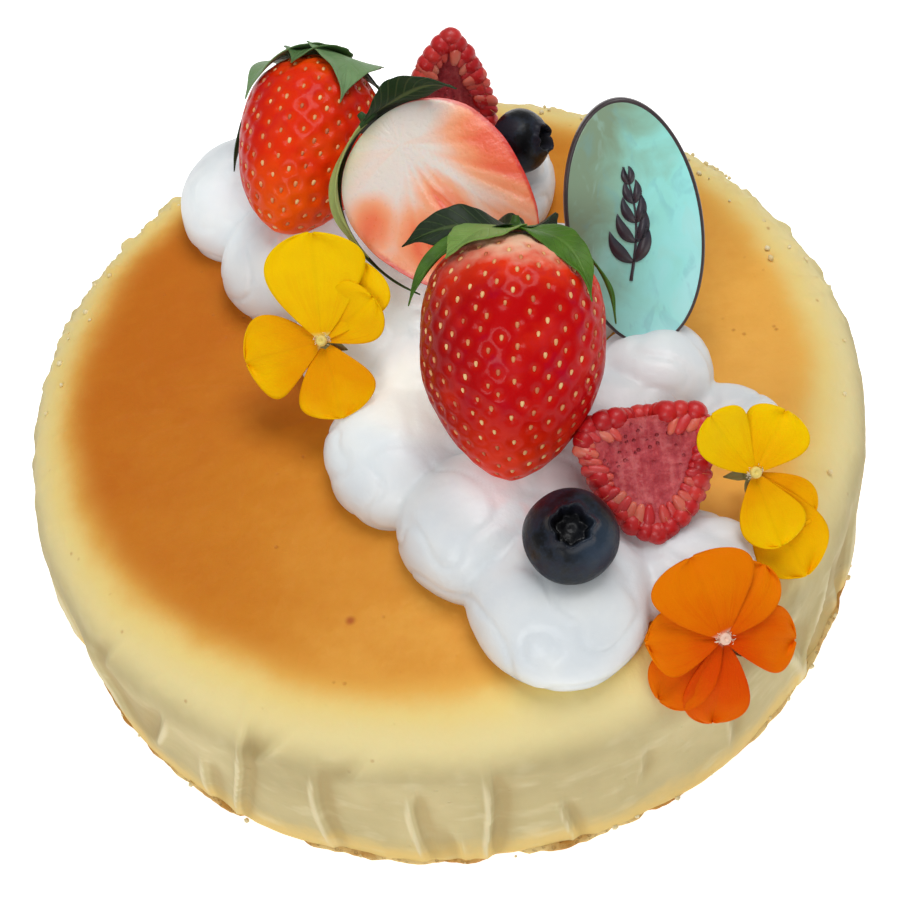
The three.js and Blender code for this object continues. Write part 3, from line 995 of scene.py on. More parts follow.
def strawberry(fruit, seed):
    """A whole strawberry's skin with a dimple at each achene, and the achenes' spots."""
    rows, columns = 150, 250
    rings = lumpy(lathe(even_outline(fruit, rows), columns), seed)
    spots = on_skin(achene_spots(fruit), seed)
    points, faces = skin(rings)
    middle = points * (1, 1, 0)
    away = middle / np.maximum(np.linalg.norm(middle, axis=1), 0.5)[:, None]
    sink = dimple(points, spots, 0.75, 0.42)
    lean = np.clip(points[:, 2] / fruit["length"] * 2, -1, 1)
    inward = away + np.column_stack([0 * lean, 0 * lean, lean * np.abs(lean)])
    inward = inward / np.maximum(np.linalg.norm(inward, axis=1), 0.3)[:, None]
    points = points - inward * sink[:, None]
    height = points[:, 2] / fruit["length"] + 0.5
    matrix = fruit_frame(fruit)
    side = points[:, 0] / fruit["radius"]
    marks = {"height": height, "side": side, "sunk": np.clip(sink / 0.5, 0, 1)}
    shape = Shape().add(placed(points, matrix), faces, **marks)
    return shape, turned_spots(spots, matrix, 0.3)


def halved_strawberry(fruit, seed):
    """The kept half, with marks for its cut face: where it is, its rim, its streaks and its redness."""
    rows, arc, chord = 150, 120, 96
    outline = even_outline(fruit, rows)
    rings, across = half_rings(outline[:, :1], outline[:, 1:], arc, chord)
    x, z = rings[..., 0], rings[..., 2]
    rings = lumpy(rings, seed)
    cut = np.zeros(x.shape)
    cut[:, arc:] = 1
    side = x / fruit["radius"]
    rim = np.ones(x.shape)
    rim[:, arc:] = np.abs(across)
    heart_side, heart_height = PALE_HEART
    core_height = 0.02 * fruit["length"]
    heart_z = (heart_height - 0.5) * fruit["length"]
    long = np.where(z > core_height, 0.42, 0.58) * fruit["length"]
    way_out = np.clip(np.hypot(x / np.maximum(fruit["radius"], 1), (z - core_height) / long), 0, 1.1)
    way_out = np.maximum(way_out, rim**3 * 0.98)
    round_core = np.arctan2(x / fruit["radius"] - heart_side, (z - heart_z) / fruit["length"])
    fan = np.dstack([np.cos(round_core) * 5, np.sin(round_core) * 5, way_out * 0.7])
    streak = (0.9 * ripple(fan, 1.1, 41) + 0.4 * ripple(fan, 0.45, 42)).reshape(x.shape)
    share_up = z / fruit["length"] + 0.5
    redness = 0.8 * smooth(np.hypot(side - heart_side, (share_up - heart_height) * 2), 0.55, 1.45)
    for middle, height, wide, long_way in FLESH_PATCHES:
        away = np.hypot((side - middle) / wide, (share_up - height) / long_way)
        redness = np.maximum(redness, 0.95 * (1 - smooth(away, 0.2, 1.6)))
    bulge = 0.5 * (1 - rim**6) * np.clip(1 - (z / (fruit["length"] / 2)) ** 6, 0, 1)
    hollow = -0.7 * hump(side, 0.1) * hump((z - core_height) / fruit["length"], 0.17)
    rings[..., 1] += cut * (bulge + hollow + 0.16 * streak * smooth(redness, 0.2, 0.6))
    spots = on_skin(achene_spots(fruit, half=True), seed)
    points, faces = skin(rings)
    skin_side = np.append(1 - cut.ravel(), [1, 1])
    away = points * (1, 1, 0)
    away = away / np.maximum(np.linalg.norm(away, axis=1), 0.5)[:, None]
    sink = dimple(points, spots, 0.72, 0.5) * skin_side
    points = points - away * sink[:, None]
    matrix = fruit_frame(fruit)
    marks = {
        "cut": np.append(cut.ravel(), [0, 0]),
        "streak": np.append(streak.ravel(), [0, 0]),
        "redness": np.append(redness.ravel(), [1, 1]),
        "height": points[:, 2] / fruit["length"] + 0.5,
        "side": points[:, 0] / fruit["radius"],
        "rim": np.append(rim.ravel(), [1, 1]),
    }
    return Shape().add(placed(points, matrix), faces, **marks), turned_spots(spots, matrix, 0.3)


def leaf_blade(fruit, turn, reach, width, rise, out, twist, seed):
    """One leaf: starts at the stem, lies over the shoulder, folds along its midrib and curls at its edge."""
    rows, columns = 30, 13
    drawn = random.Random(seed)
    curl = drawn.uniform(-0.5, 0.5)
    bend = drawn.uniform(-0.9, 0.9)
    points, sides, shares = [], [], []
    for i in range(rows):
        share = i / (rows - 1)
        angle = math.radians(reach * share)
        radius, height = skin_at(fruit, reach * share)
        broad = width * math.sin(math.pi * (0.2 + 0.77 * share)) ** 0.9
        broad = max(0.12, broad * 1.2 * (1 - share**4))
        for j in range(columns):
            side = 2 * j / (columns - 1) - 1
            notch = 1 + 0.1 * abs(math.sin(share * 17 + seed)) * abs(side) ** 6
            off = SEPAL_THICKNESS / 2 + LEAF_CLEARANCE - 0.25
            cup = min(1.0, 2 * broad / width)
            off += cup * (0.55 * side * side * (0.4 + share) + curl * side * share)
            off += 0.18 * math.sin(9 * share + 3 * side * cup + seed)
            tilt = math.radians(twist) * float(smooth(share, 0.0, 0.55))
            x = side * broad / 2 * notch * math.cos(tilt) + bend * share * share
            y = radius + off * math.sin(angle) + out * share**2
            z = height + off * math.cos(angle) + rise * share**1.5 + side * broad / 2 * notch * math.sin(tilt)
            points.append((x, y, z))
            sides.append(side)
            shares.append(share)
    spin = Matrix.Rotation(math.radians(-turn), 4, "Z")
    return placed(points, spin), grid_faces(rows, columns), sides, shares


def calyx(leaves, fruit, seed):
    """The ring of leaves with its short stem."""
    shape = Shape()
    matrix = fruit_frame(fruit)
    for i, (turn, reach, width, rise, out, twist, light) in enumerate(leaves):
        points, faces, sides, shares = leaf_blade(fruit, turn, reach, width, rise, out, twist, seed + i)
        shape.add(placed(points, matrix), faces, side=sides, share=shares, tint=light)
    return shape


def stem_stub(fruit):
    """The button in the middle of the leaves and the cut stem on it."""
    foot = fruit["length"] / 2 + 0.5
    button = [(2.1, 0), (2.2, 0.35), (1.8, 0.7), (1.0, 1.0)]
    stem = [(0.7, 1.5), (0.62, 2.0), (0.56, 2.25), (0.35, 2.3)]
    rings = lathe([(r, z + foot) for r, z in button + stem], 20)
    swell = 1 + 0.06 * ripple(rings, 1.2, 51).reshape(rings.shape[:2])
    rings = rings * swell[..., None] ** (1, 1, 0)
    points, faces = skin(rings)
    return placed(points, fruit_frame(fruit)), faces


def strawberry_finish(name, deep, bright, pale, blushing, shaded, right=0.0):
    """Glossy red skin, paler and more orange near the stem and darker on its left, or on both sides."""
    paint = Paint(
        name,
        subsurface_weight=0.05,
        subsurface_scale=0.002,
        coat_roughness=0.08,
        specular_ior_level=0.07,
    )
    height = paint.mark("height")
    sunk = paint.mark("sunk")
    side = paint.mark("side")
    cloud = paint.noise(8, 3)
    mottle = paint.noise(1.6, 3)
    level = height + (cloud - 0.5) * 0.3 + (mottle - 0.5) * 0.08
    colour = paint.ramp(
        level,
        (0.04, tone(bright)),
        (0.3, tone(deep)),
        (0.7, tone(deep)),
        (0.86, tone(bright)),
        (0.98, tone(pale)),
    )
    middle = paint.smooth(height, 0.2, 0.45) * paint.smooth(height, 0.95, 0.75)
    blush = paint.smooth(paint.noise(4, 3), 0.5, 0.68) * middle
    colour = paint.mix(blush * 0.6, colour, tone(blushing))
    uneven = (cloud - 0.5) * 0.6 - side
    right_shade = paint.smooth(uneven, 0.3, 0.8) * paint.smooth(height, 0.3, 0.8) * right
    shade = paint.smooth(uneven, 0.0, -0.8) + right_shade
    colour = paint.mix(shade * 0.7, colour, tone(shaded))
    colour = paint.mix(sunk * 0.45, colour, tone(bright))
    colour = paint.mix(paint.smooth(cloud, 0.55, 0.75) * 0.35, colour, tone(bright))
    return paint.paints(
        base_color=colour,
        roughness=0.34 + (mottle - 0.5) * 0.12,
        coat_weight=0.13 - sunk * 0.05,
        normal=paint.bump(mottle * 0.6 + paint.noise(0.45, 2) * 0.4, 0.1),
    )


def half_berry_finish():
    """The halved strawberry: red skin, thin red rim, streaky flesh and a whitish core."""
    paint = Paint("strawberry_cut", subsurface_weight=0.25, subsurface_scale=0.003, coat_roughness=0.15)
    cut, streak, redness = paint.mark("cut"), paint.mark("streak"), paint.mark("redness")
    height, side, rim = paint.mark("height"), paint.mark("side"), paint.mark("rim")
    cloud = paint.noise(7, 3)
    fine = paint.noise(0.9, 3)
    level = redness - streak * 0.3 + (cloud - 0.5) * 0.3 + (fine - 0.5) * 0.05
    flesh = paint.ramp(
        level,
        (0.05, tone("#e8ddd3")),
        (0.28, tone("#f0cab6")),
        (0.55, tone("#f6aa80")),
        (0.8, tone("#f58f5e")),
        (1.0, tone("#ee6038")),
    )
    flesh = paint.mix(paint.smooth(streak, 0.25, 0.6) * 0.4, flesh, tone("#f2d2c0"))
    greenish = paint.smooth(height + side * 0.12, 0.9, 1.02) * 0.5
    flesh = paint.mix(greenish, flesh, tone("#d6cc94"))
    off_stem = paint.smooth(height + side * 0.3, 0.95, 0.75)
    edge = paint.smooth(rim + (fine - 0.5) * 0.05, 0.93, 0.985) * off_stem
    flesh = paint.mix(edge * 0.85, flesh, tone("#d21806"))
    skin_colour = paint.ramp(height + (cloud - 0.5) * 0.3, (0.0, tone("#ad0404")), (0.8, tone("#c81a08")))
    return paint.paints(
        base_color=paint.mix(cut, skin_colour, flesh),
        roughness=0.3 + (fine - 0.5) * 0.2,
        coat_weight=0.2,
        normal=paint.bump(fine * 0.6 + streak * 0.4, 0.14),
    )


def achene_finish():
    paint = Paint("achenes", roughness=0.45)
    cloud = paint.noise(5, 2)
    colour = paint.ramp(cloud, (0.38, tone("#c0643c")), (0.5, tone("#dc965c")), (0.62, tone("#eec888")))
    return paint.paints(base_color=colour)


def leaf_finish(name, dark, fresh, light):
    """A leaf with a pale midrib, side veins and its own tint, which is partly its true tone and partly
    painted shade and light.
    """
    paint = Paint(
        name,
        subsurface_weight=0.06,
        subsurface_scale=0.001,
        coat_roughness=0.35,
        specular_ior_level=0.25,
    )
    side, share, tint = paint.mark("side"), paint.mark("share"), paint.mark("tint")
    across = (side * side) ** 0.5
    midrib = paint.smooth(across, 0.16, 0.03)
    wave = paint.node("ShaderNodeMath", {"operation": "SINE"}, {0: (share * 1.0 - across * 0.22) * 62})
    vein = paint.smooth(wave, 0.72, 0.98) * (1 - midrib)
    cloud = paint.noise(3.2, 3)
    # painted shade and light: the leaf's tint darkens backlit, shaded leaves and lightens lit ones, on top of
    # their own green
    fresh_share = paint.smooth(tint + (cloud - 0.5) * 0.6, 0.05, 0.75)
    colour = paint.mix(fresh_share, tone(dark), tone(fresh))
    colour = paint.mix(paint.smooth(tint + (cloud - 0.5) * 0.4, 0.65, 1.05) * 0.8, colour, tone(light))
    colour = paint.mix(midrib * 0.16 + vein * 0.06, colour, tone(light))
    relief = paint.noise(0.7, 3) * 0.5 - midrib * 0.5 - vein * 0.3
    return paint.paints(base_color=colour, roughness=0.52, coat_weight=0.05, normal=paint.bump(relief, 0.18))


def make_strawberries(scatter):
    """Both whole strawberries and the half, each with its achenes and leaves."""
    achene = ball(0.56, 0.32, 0.22, 8, 4, taper=0.3)
    seeds = achene_finish()
    deep_skin = ("#bc0004", "#e6340e", "#f4c2a2", "#a8002c", "#800004")
    bright_skin = ("#e42c04", "#f25a0a", "#f06a28", "#cc0c1c", "#b80404")
    skins = {
        "front": strawberry_finish("strawberry_skin_deep", *deep_skin),
        "back": strawberry_finish("strawberry_skin_bright", *bright_skin, right=1.0),
    }
    greens = {
        "front": leaf_finish("leaf_green", "#0e2404", "#4a7418", "#86a454"),
        "back": leaf_finish("leaf_grey_green", "#16300e", "#5a7c48", "#80a070"),
        "half": leaf_finish("leaf_dark_green", "#12300c", "#305222", "#a8b468"),
    }
    for seed, (where, fruit) in enumerate(STRAWBERRIES.items(), 60):
        if where == "half":
            shape, spots = halved_strawberry(fruit, seed)
            name, slot, finish = "strawberry_half", "strawberry_flesh", half_berry_finish()
        else:
            shape, spots = strawberry(fruit, seed)
            name, slot, finish = "strawberry_" + where, "strawberry", skins[where]
        claim(shape.piece(name + "_fruit", finish), name)
        claim(scatter.grow(name + "_achenes", spots, achene, seeds, (0.8, 1.1), seed), name)
        leaves = calyx(LEAVES[where], fruit, seed).piece(name + "_leaf_ring", greens[where])
        claim(thicken(leaves, 0.32, 1), name + "_leaves")
        stub = Shape().add(*stem_stub(fruit), side=0.5, share=0.3, tint=0.4)
        claim(stub.piece(name + "_stem", greens[where]), name + "_leaves")


# ---- raspberries ----
def raspberry_ring(fruit, high):
    """Radius and height of a raspberry's body from -1 (tip) to 1 (rim), which is pressed a little flatter."""
    power, squeeze = (5.5, 0.87) if high > 0 else (2.5, 1)
    blunt = (1 - min(abs(high), 0.999) ** power) ** (1 / power)
    radius = blunt * (fruit["tip"] + (fruit["rim"] - fruit["tip"]) * (high + 1) / 2)
    return radius, high * fruit["length"] / 2 * squeeze


def raspberry_outline(fruit, rows):
    """The body's outline from tip to rim, its points an even way apart."""
    highs = -np.cos(np.linspace(0.02, math.pi - 0.02, 600))
    fine = np.array([raspberry_ring(fruit, high) for high in highs])
    return evenly_spaced(fine, rows)


def drupelet_spots(fruit, seed):
    """Drupelets in rows over the kept half, down to the edge of its cut face, from the flesh outwards."""
    drawn = random.Random(seed)
    outline = raspberry_outline(fruit, 200)
    step = np.hypot(*(outline[1] - outline[0]))
    rows = int(len(outline) * step / (DRUPELETS_APART * 0.9))
    spots = []
    for i in range(rows):
        row = int((i + 0.5) / rows * (len(outline) - 1))
        radius, height = outline[row]
        along = outline[min(row + 2, len(outline) - 1)] - outline[max(row - 2, 0)]
        along = along / max(np.hypot(*along), 1e-6)
        count = max(1, int(round(math.pi * radius / DRUPELETS_APART)))
        for j in range(count + 1):
            share = (j + 0.5 * (i % 2)) / count
            if share > 1:
                continue
            turn = math.pi + math.pi * share + drawn.gauss(0, 0.03)
            turn = min(max(turn, math.pi + 0.05), 2 * math.pi - 0.05)
            c, s = math.cos(turn), math.sin(turn)
            deep = max(radius - 1.85, 0.3)
            place = (deep * c, min(deep * s - 0.45, -1.55), height * 0.96 + drawn.gauss(0, 0.1))
            outward = (along[1] * c, along[1] * s, -along[0])
            spots.append((place, outward, (along[0] * c, along[0] * s, along[1])))
    return spots


def raspberry_body(fruit, seed):
    """The flesh under the drupelets, with a dished, pitted cut face."""
    rows, arc, chord = 70, 60, 56
    outline = raspberry_outline(fruit, rows)
    inner = np.maximum(outline[:, :1] - 0.9, 0.3)
    rings, across = half_rings(inner, outline[:, 1:] * 0.93, arc, chord)
    cut = np.zeros(rings.shape[:2])
    cut[:, arc:] = 1
    inside = np.ones(cut.shape)
    sideways = across * inner / outline[:, :1].max()
    lengthways = rings[:, arc:, 2] / (fruit["length"] / 2)
    inside[:, arc:] = np.clip(np.hypot(sideways, lengthways), 0, 1)
    rough = (0.3 * ripple(rings, 1.3, seed) + 0.22 * ripple(rings, 0.55, seed + 1)).reshape(cut.shape)
    dish = -1.5 * (1 - smooth(inside, 0.35, 0.85)) - 0.35
    rings[..., 1] += cut * (dish + rough)
    points, faces = skin(rings)
    marks = {"cut": np.append(cut.ravel(), [1, 1]), "inside": np.append(inside.ravel(), [1, 1])}
    marks["wide"] = points[:, 0]
    marks["high"] = points[:, 2]
    return Shape().add(placed(points, fruit_frame(fruit)), faces, **marks)


def rim_beads(fruit, seed):
    """The cut drupelets that ring the cut face, their rounded tops turned towards it."""
    drawn = random.Random(seed)
    outline = raspberry_outline(fruit, 200)
    step = np.hypot(*(outline[1] - outline[0]))
    count = int(len(outline) * step / RIM_BEADS_APART)
    spots = []
    for side in (-1, 1):
        for i in range(count):
            radius, height = outline[int((i + 0.5) / count * (len(outline) - 1))]
            way = np.array([side * radius, height * 0.9])
            reach = np.linalg.norm(way)
            spot = way * (1 - 1.9 / reach) * (1 + drawn.gauss(0, 0.012))
            notch = 2.2 * math.exp(-((radius / 3.5) ** 2)) * (height > 0)
            place = (spot[0], -0.75 + drawn.gauss(0, 0.12), spot[1] - notch)
            way = way / reach
            spots.append((place, (way[0] * 0.25, 1, way[1] * 0.25), (way[0], -0.25, way[1])))
    return spots


def raspberry_finish(name, *hues):
    """Soft red drupelets, some paler with light in them."""
    paint = Paint(
        name,
        subsurface_weight=0.2,
        subsurface_scale=0.0015,
        coat_roughness=0.15,
        specular_ior_level=0.35,
    )
    own = Value(paint, paint.node("ShaderNodeNewGeometry").socket.node.outputs["Random Per Island"])
    cloud = paint.noise(6, 2)
    stops = [(0.15 + 0.28 * i, tone(hue)) for i, hue in enumerate(hues)]
    colour = paint.ramp(own * 0.55 + cloud * 0.5, *stops)
    return paint.paints(
        base_color=colour, roughness=0.42, coat_weight=0.15, normal=paint.bump(paint.noise(0.8, 2), 0.1)
    )


def raspberry_flesh():
    """The matt inside of a cut raspberry, with small dark pits and a paler downy bloom."""
    paint = Paint("raspberry_flesh", subsurface_weight=0.2, subsurface_scale=0.002)
    inside = paint.mark("inside")
    fine = paint.noise(0.9, 4, roughness=0.65)
    cells = paint.cells(1.35)
    wide, high = paint.mark("wide"), paint.mark("high")
    spread = paint.node("ShaderNodeCombineXYZ", {}, {0: wide * 0.75, 1: high * 0.12, 2: 0.4})
    ribs = paint.noise(1.0, 2, spread)
    tint = fine * 0.55 + ribs * 0.45
    colour = paint.ramp(tint, (0.38, tone("#a62834")), (0.5, tone("#b83c44")), (0.62, tone("#ca5e60")))
    pits = paint.smooth(cells, 0.28, 0.1) * paint.smooth(inside, 0.95, 0.6) * paint.smooth(high, -2, 4)
    colour = paint.mix(pits * 0.6, colour, tone("#7a1020"))
    colour = paint.mix(paint.smooth(inside, 0.66, 0.85) * 0.35, colour, tone("#cc5a52"))
    return paint.paints(base_color=colour, roughness=0.62, normal=paint.bump(fine * 0.6 + ribs - pits, 0.4))


def make_raspberries(scatter):
    """Two halves, each of flesh, drupelets, the beads round its cut and a few hairs."""
    bead = ball(1.95, 1.85, 1.85, 14, 8)
    small_bead = ball(2.2, 1.05, 0.85, 12, 7, taper=-0.25)
    fuzz = hair(2.3, 0.045, 0.5)
    drupelets = raspberry_finish("raspberry_drupelets", "#a8060e", "#c0141a", "#cc2c28", "#d8503c")
    cut_ones = raspberry_finish("raspberry_cut_drupelets", "#bc1e24", "#c83438", "#d4604e", "#e29c80")
    flesh = raspberry_flesh()
    down = Paint("raspberry_down", roughness=0.5).paints(base_color=tone("#d9a86c"))
    for seed, (where, fruit) in enumerate(RASPBERRIES.items(), 80):
        node = "raspberry_half_" + where
        matrix = fruit_frame(fruit)
        claim(raspberry_body(fruit, seed).piece(node + "_flesh", flesh), node)
        spots = turned_spots(drupelet_spots(fruit, seed), matrix)
        claim(scatter.grow(node + "_drupelets", spots, bead, drupelets, (0.9, 1.08), seed), node)
        beads = turned_spots(rim_beads(fruit, seed), matrix)
        claim(scatter.grow(node + "_rim", beads, small_bead, cut_ones, (0.8, 1.15), seed), node)
        hairs = random.Random(seed).sample(spots, len(spots) // 2) + beads[::2]
        claim(scatter.grow(node + "_hairs", hairs, fuzz, down, (0.6, 1.1), seed), node)


# ---- blueberries ----
def blueberry(fruit, seed):
    """A slightly flattened berry with a ragged five-pointed crown round a dimple."""
    rows, columns = 96, 140
    bends = np.linspace(0.02, math.pi - 0.02, rows)
    rings = lathe([(math.sin(a), -math.cos(a)) for a in bends], columns)
    x, y, z = rings[..., 0], rings[..., 1], rings[..., 2]
    away = np.hypot(x, y)
    turn = np.arctan2(y, x) + 0.12 * np.sin(3 * np.arctan2(y, x) + seed)
    flap = np.abs(np.cos(2.5 * turn)) ** 0.5 * (0.75 + 0.25 * np.sin(turn + seed))
    above = z > 0
    ragged = 0.05 * flap + 0.03 * np.sin(7 * turn + seed)
    rim = (0.02 + 0.15 * flap) * hump(away - 0.4 - ragged, 0.075) * above
    cup = 0.3 * (1 - smooth(away - ragged, 0.26, 0.4)) * above
    scar = 0.03 * hump(away - 0.1, 0.08) * above
    high = z * 0.88 + rim - cup + scar
    points, faces = skin(np.dstack([x, y, high]))
    points = points * (1 + 0.02 * ripple(points, 0.7, seed))[:, None] * fruit["radius"]
    crown = np.append((hump(away - 0.42, 0.12) * above).ravel(), [0, 0])
    cup_mark = np.append(((1 - smooth(away, 0.3, 0.42)) * above).ravel(), [0, 1])
    matrix = frame_at(fruit["at"], fruit["crown"], (0, 1, 0.1))
    return Shape().add(placed(points, matrix), faces, crown=crown, cup=cup_mark)


def blueberry_finish():
    """Near-black skin with patches of dusty bloom, and a dry crown."""
    paint = Paint("blueberry_skin", coat_roughness=0.25, specular_ior_level=0.2)
    crown, cup = paint.mark("crown"), paint.mark("cup")
    cloud = paint.noise(4, 4, roughness=0.6)
    fine = paint.noise(0.6, 3)
    bloom = paint.smooth(cloud + (fine - 0.5) * 0.25, 0.4, 0.66)
    colour = paint.mix(bloom * 0.7, tone("#05070b"), tone("#263244"))
    colour = paint.mix(paint.smooth(paint.noise(4, 2), 0.52, 0.66) * 0.6, colour, tone("#22121a"))
    colour = paint.mix(paint.near((19.5, -52, 58.5), 6, 1.5) * 0.65, colour, tone("#304052"))
    colour = paint.mix(paint.near((12.5, -44.5, 59), 5.5, 1) * 0.6, colour, tone("#2c1420"))
    colour = paint.mix(crown * 0.35, colour, tone("#1c1c26"))
    colour = paint.mix(cup * 0.9, colour, tone("#030305"))
    relief = fine * 0.4 + paint.noise(2, 2) * 0.6
    return paint.paints(
        base_color=colour,
        roughness=0.34 + bloom * 0.3,
        coat_weight=0.12 - bloom * 0.08,
        normal=paint.bump(relief, 0.14),
    )


# ---- violas ----
def petal(length, width, cup, layer, seed):
    """One petal along +Y: round and ruffled at its end, narrow at the heart, with a soft middle fold."""
    rows, columns = 34, 27
    share = 1 - (1 - np.linspace(0, 1, rows)[:, None]) ** 1.6
    side = np.linspace(-1, 1, columns)[None, :]
    blunt = np.maximum(np.sin(math.pi * np.minimum(share, 0.9995) ** 1.95), 0) ** 0.42
    half = np.maximum(0.5, width / 2 * blunt)
    swell = 1 + 0.05 * np.sin(5 * share + seed) * np.sign(side)
    x = side * half * swell
    y = length * (share + blunt * (0.045 * np.sin(2.6 * side + seed) - 0.03) * share**3)
    y = y + length * 0.014 * blunt * np.sin(9 * side + 2 * seed) * share**6
    lift = (cup * share**2 - 0.05 * cup * side**2) * length
    ruffle = 0.32 * np.sin(6.5 * side + seed) * share**3
    ruffle = ruffle + 0.3 * np.sin(8 * share + seed * 2) * side**3 * share
    fold = -0.16 * hump(side, 0.14) * (1 - 0.7 * share) + 0.3 * side**2 * share
    curl = -0.45 * smooth(share, 0.8, 1.0) * (0.5 + 0.5 * math.sin(seed * 1.7))
    z = layer + lift + ruffle + fold + curl
    points = np.dstack([x, y, z + 0 * x]).reshape(-1, 3)
    points[:, 2] += 0.16 * ripple(points, 2.4, seed)
    return points, grid_faces(rows, columns), (side + 0 * share).ravel(), (share + 0 * side).ravel()


def viola_petals(flower, seed):
    """All petals of one flower, laid one over another."""
    shape = Shape()
    matrix = frame_at(flower["at"], flower["face"], FLOWER_TOP)
    petals = flower["petals"]
    for i, (turn, length, width, cup) in enumerate(petals):
        layer = 0.3 * (len(petals) - i)
        points, faces, side, share = petal(length, width, cup, layer, seed + 1.3 * i)
        spin = Matrix.Rotation(math.radians(-turn), 4, "Z")
        tint = 1 - i / (len(petals) - 1)
        shape.add(placed(placed(points, spin), matrix), faces, side=side, share=share, tint=tint)
    return shape


def viola_back(flower, seed):
    """The stalk behind the flower and the narrow sepals that show between its petals."""
    shape = Shape()
    matrix = frame_at(flower["at"], flower["face"], FLOWER_TOP)
    length = flower["spur"]
    stalk = ((0.5, 0), (0.6, 0.02), (0.62, 0.3), (0.7, 0.8))
    outline = [(SPUR_RADIUS * slim, -length + length * share) for slim, share in stalk]
    outline += [(1.5, -0.6), (1.6, 0), (1.0, 0.5)]
    points, faces = skin(lathe(outline, 16))
    shape.add(placed(points, matrix), faces, side=0.6, share=0.4, tint=0.4)
    rows, columns = 10, 5
    for i in range(5):
        share = np.linspace(0, 1, rows)[:, None]
        side = np.linspace(-1, 1, columns)[None, :]
        reach = 3.6 + 0.5 * math.sin(3 * i + seed)
        x = side * 0.95 * np.sin(math.pi * (0.2 + 0.77 * share)) * (1 - 0.35 * share)
        y = 0.6 + reach * share + 0 * side
        z = -0.5 - 0.9 * share + 0.25 * side**2 + 0 * share
        points = np.dstack([x, y + 0 * x, z + 0 * x]).reshape(-1, 3)
        spin = Matrix.Rotation(math.radians(-(i * 72 + 20 + 9 * seed)), 4, "Z")
        points = placed(placed(points, spin), matrix)
        shape.add(points, grid_faces(rows, columns), side=0.5, share=0.4, tint=0.5)
    return shape


def viola_heart(flower, seed):
    """The small throat in the middle and the hairs that close it."""
    matrix = frame_at(flower["at"], flower["face"], FLOWER_TOP)
    layer = 0.3 * (len(flower["petals"]) + 1)
    rings = lathe([(0.55, -0.4), (0.95, 0), (0.9, 0.4), (0.55, 0.75), (0.3, 0.55), (0.1, 0.35)], 18)
    points, faces = skin(rings)
    throat = Shape().add(placed(points + (0, 0, layer), matrix), faces)
    drawn = random.Random(seed)
    spots = []
    for _ in range(48):
        turn = drawn.choice((math.radians(25), math.radians(155))) + drawn.gauss(0, 0.42)
        away = drawn.uniform(0.6, 1.6)
        place = (away * math.cos(turn), away * math.sin(turn) - 0.2, layer - 0.35)
        outward = (drawn.gauss(0, 0.5) - 0.5 * math.cos(turn), drawn.gauss(0, 0.4), 1)
        spots.append((place, outward, (-math.cos(turn), -math.sin(turn), 0)))
    return throat, turned_spots(spots, matrix)


def petal_finish(name, deep, main, light, throat, crease_shade):
    """Velvety petal colour with fine veins, a lighter end, a pale heart and a faint painted shade along the
    middle crease.
    """
    paint = Paint(name, subsurface_weight=0.1, subsurface_scale=0.001, specular_ior_level=0.04)
    side, share, tint = paint.mark("side"), paint.mark("share"), paint.mark("tint")
    across = (side * side) ** 0.5
    cloud = paint.noise(4.5, 3)
    spread = paint.node("ShaderNodeCombineXYZ", {}, {0: side * 9, 1: share * 1.1, 2: tint * 7})
    veins = paint.noise(1.0, 2, spread, distortion=0.4)
    vein = paint.smooth(veins, 0.5, 0.62) * paint.smooth(share, 0.95, 0.15)
    level = share * 0.75 + (cloud - 0.5) * 0.5 + (tint - 0.5) * 0.7
    colour = paint.ramp(level, (0.05, tone(deep)), (0.4, tone(main)), (0.85, tone(light)))
    colour = paint.mix(vein * 0.22, colour, tone(deep))
    # painted shade: a faint dark olive along the petal's middle crease
    colour = paint.mix(paint.smooth(across, 0.1, 0.0) * 0.07, colour, tone(crease_shade))
    colour = paint.mix(paint.smooth(share + (cloud - 0.5) * 0.06, 0.09, 0.03) * 0.8, colour, tone(throat))
    relief = veins * 0.6 + paint.noise(0.35, 2) * 0.4
    return paint.paints(base_color=colour, roughness=0.55, normal=paint.bump(relief, 0.16))


def make_violas(scatter):
    """Three violas: petals, stalk with sepals, throat and hairs."""
    yellow = petal_finish("yellow_petals", "#ea9a00", "#f2b400", "#f8c800", "#e6d88a", "#9a7c00")
    orange = petal_finish("orange_petals", "#d84800", "#e06200", "#e87a00", "#e8c0ae", "#b04000")
    sepal = leaf_finish("sepal_green", "#6e6a34", "#8a8450", "#b0a878")
    throats = {
        "yellow": Paint("throat_yellow", roughness=0.5).paints(base_color=tone("#e8d070")),
        "orange": Paint("throat_pink", roughness=0.5).paints(base_color=tone("#efc9b4")),
    }
    down = Paint("petal_hairs", roughness=0.6).paints(base_color=tone("#f6efd8"))
    fuzz = hair(0.75, 0.07, 0.2)
    for seed, (where, flower) in enumerate(VIOLAS.items(), 3):
        node = "viola_" + where
        hue = "orange" if where == "orange" else "yellow"
        slot = hue + "_petal"
        petals = viola_petals(flower, seed).piece(node + "_petals", orange if hue == "orange" else yellow)
        claim(thicken(petals, 0.22), node)
        back = viola_back(flower, seed).piece(node + "_stalk", sepal)
        claim(thicken(back, 0.1), node)
        throat, hairs = viola_heart(flower, seed)
        claim(throat.piece(node + "_throat", throats[hue]), node)
        claim(scatter.grow(node + "_hairs", hairs, fuzz, down, (0.7, 1.2), seed), node)


# ---- plaque ----
def oval(outline):
    """Rings of an oval disc from an outline of (inset from the edge, height)."""
    wide, high = PLAQUE["half_width"], PLAQUE["half_height"]
    rings = lathe([(1, z) for _, z in outline], 160)
    for ring, (inset, _) in zip(rings, outline):
        ring[:, 0] *= max(wide - inset, 0.05)
        ring[:, 1] *= max(high - inset, 0.05)
    return rings


def plaque_frame():
    return frame_at(PLAQUE["at"], PLAQUE["face"], PLAQUE["up"])


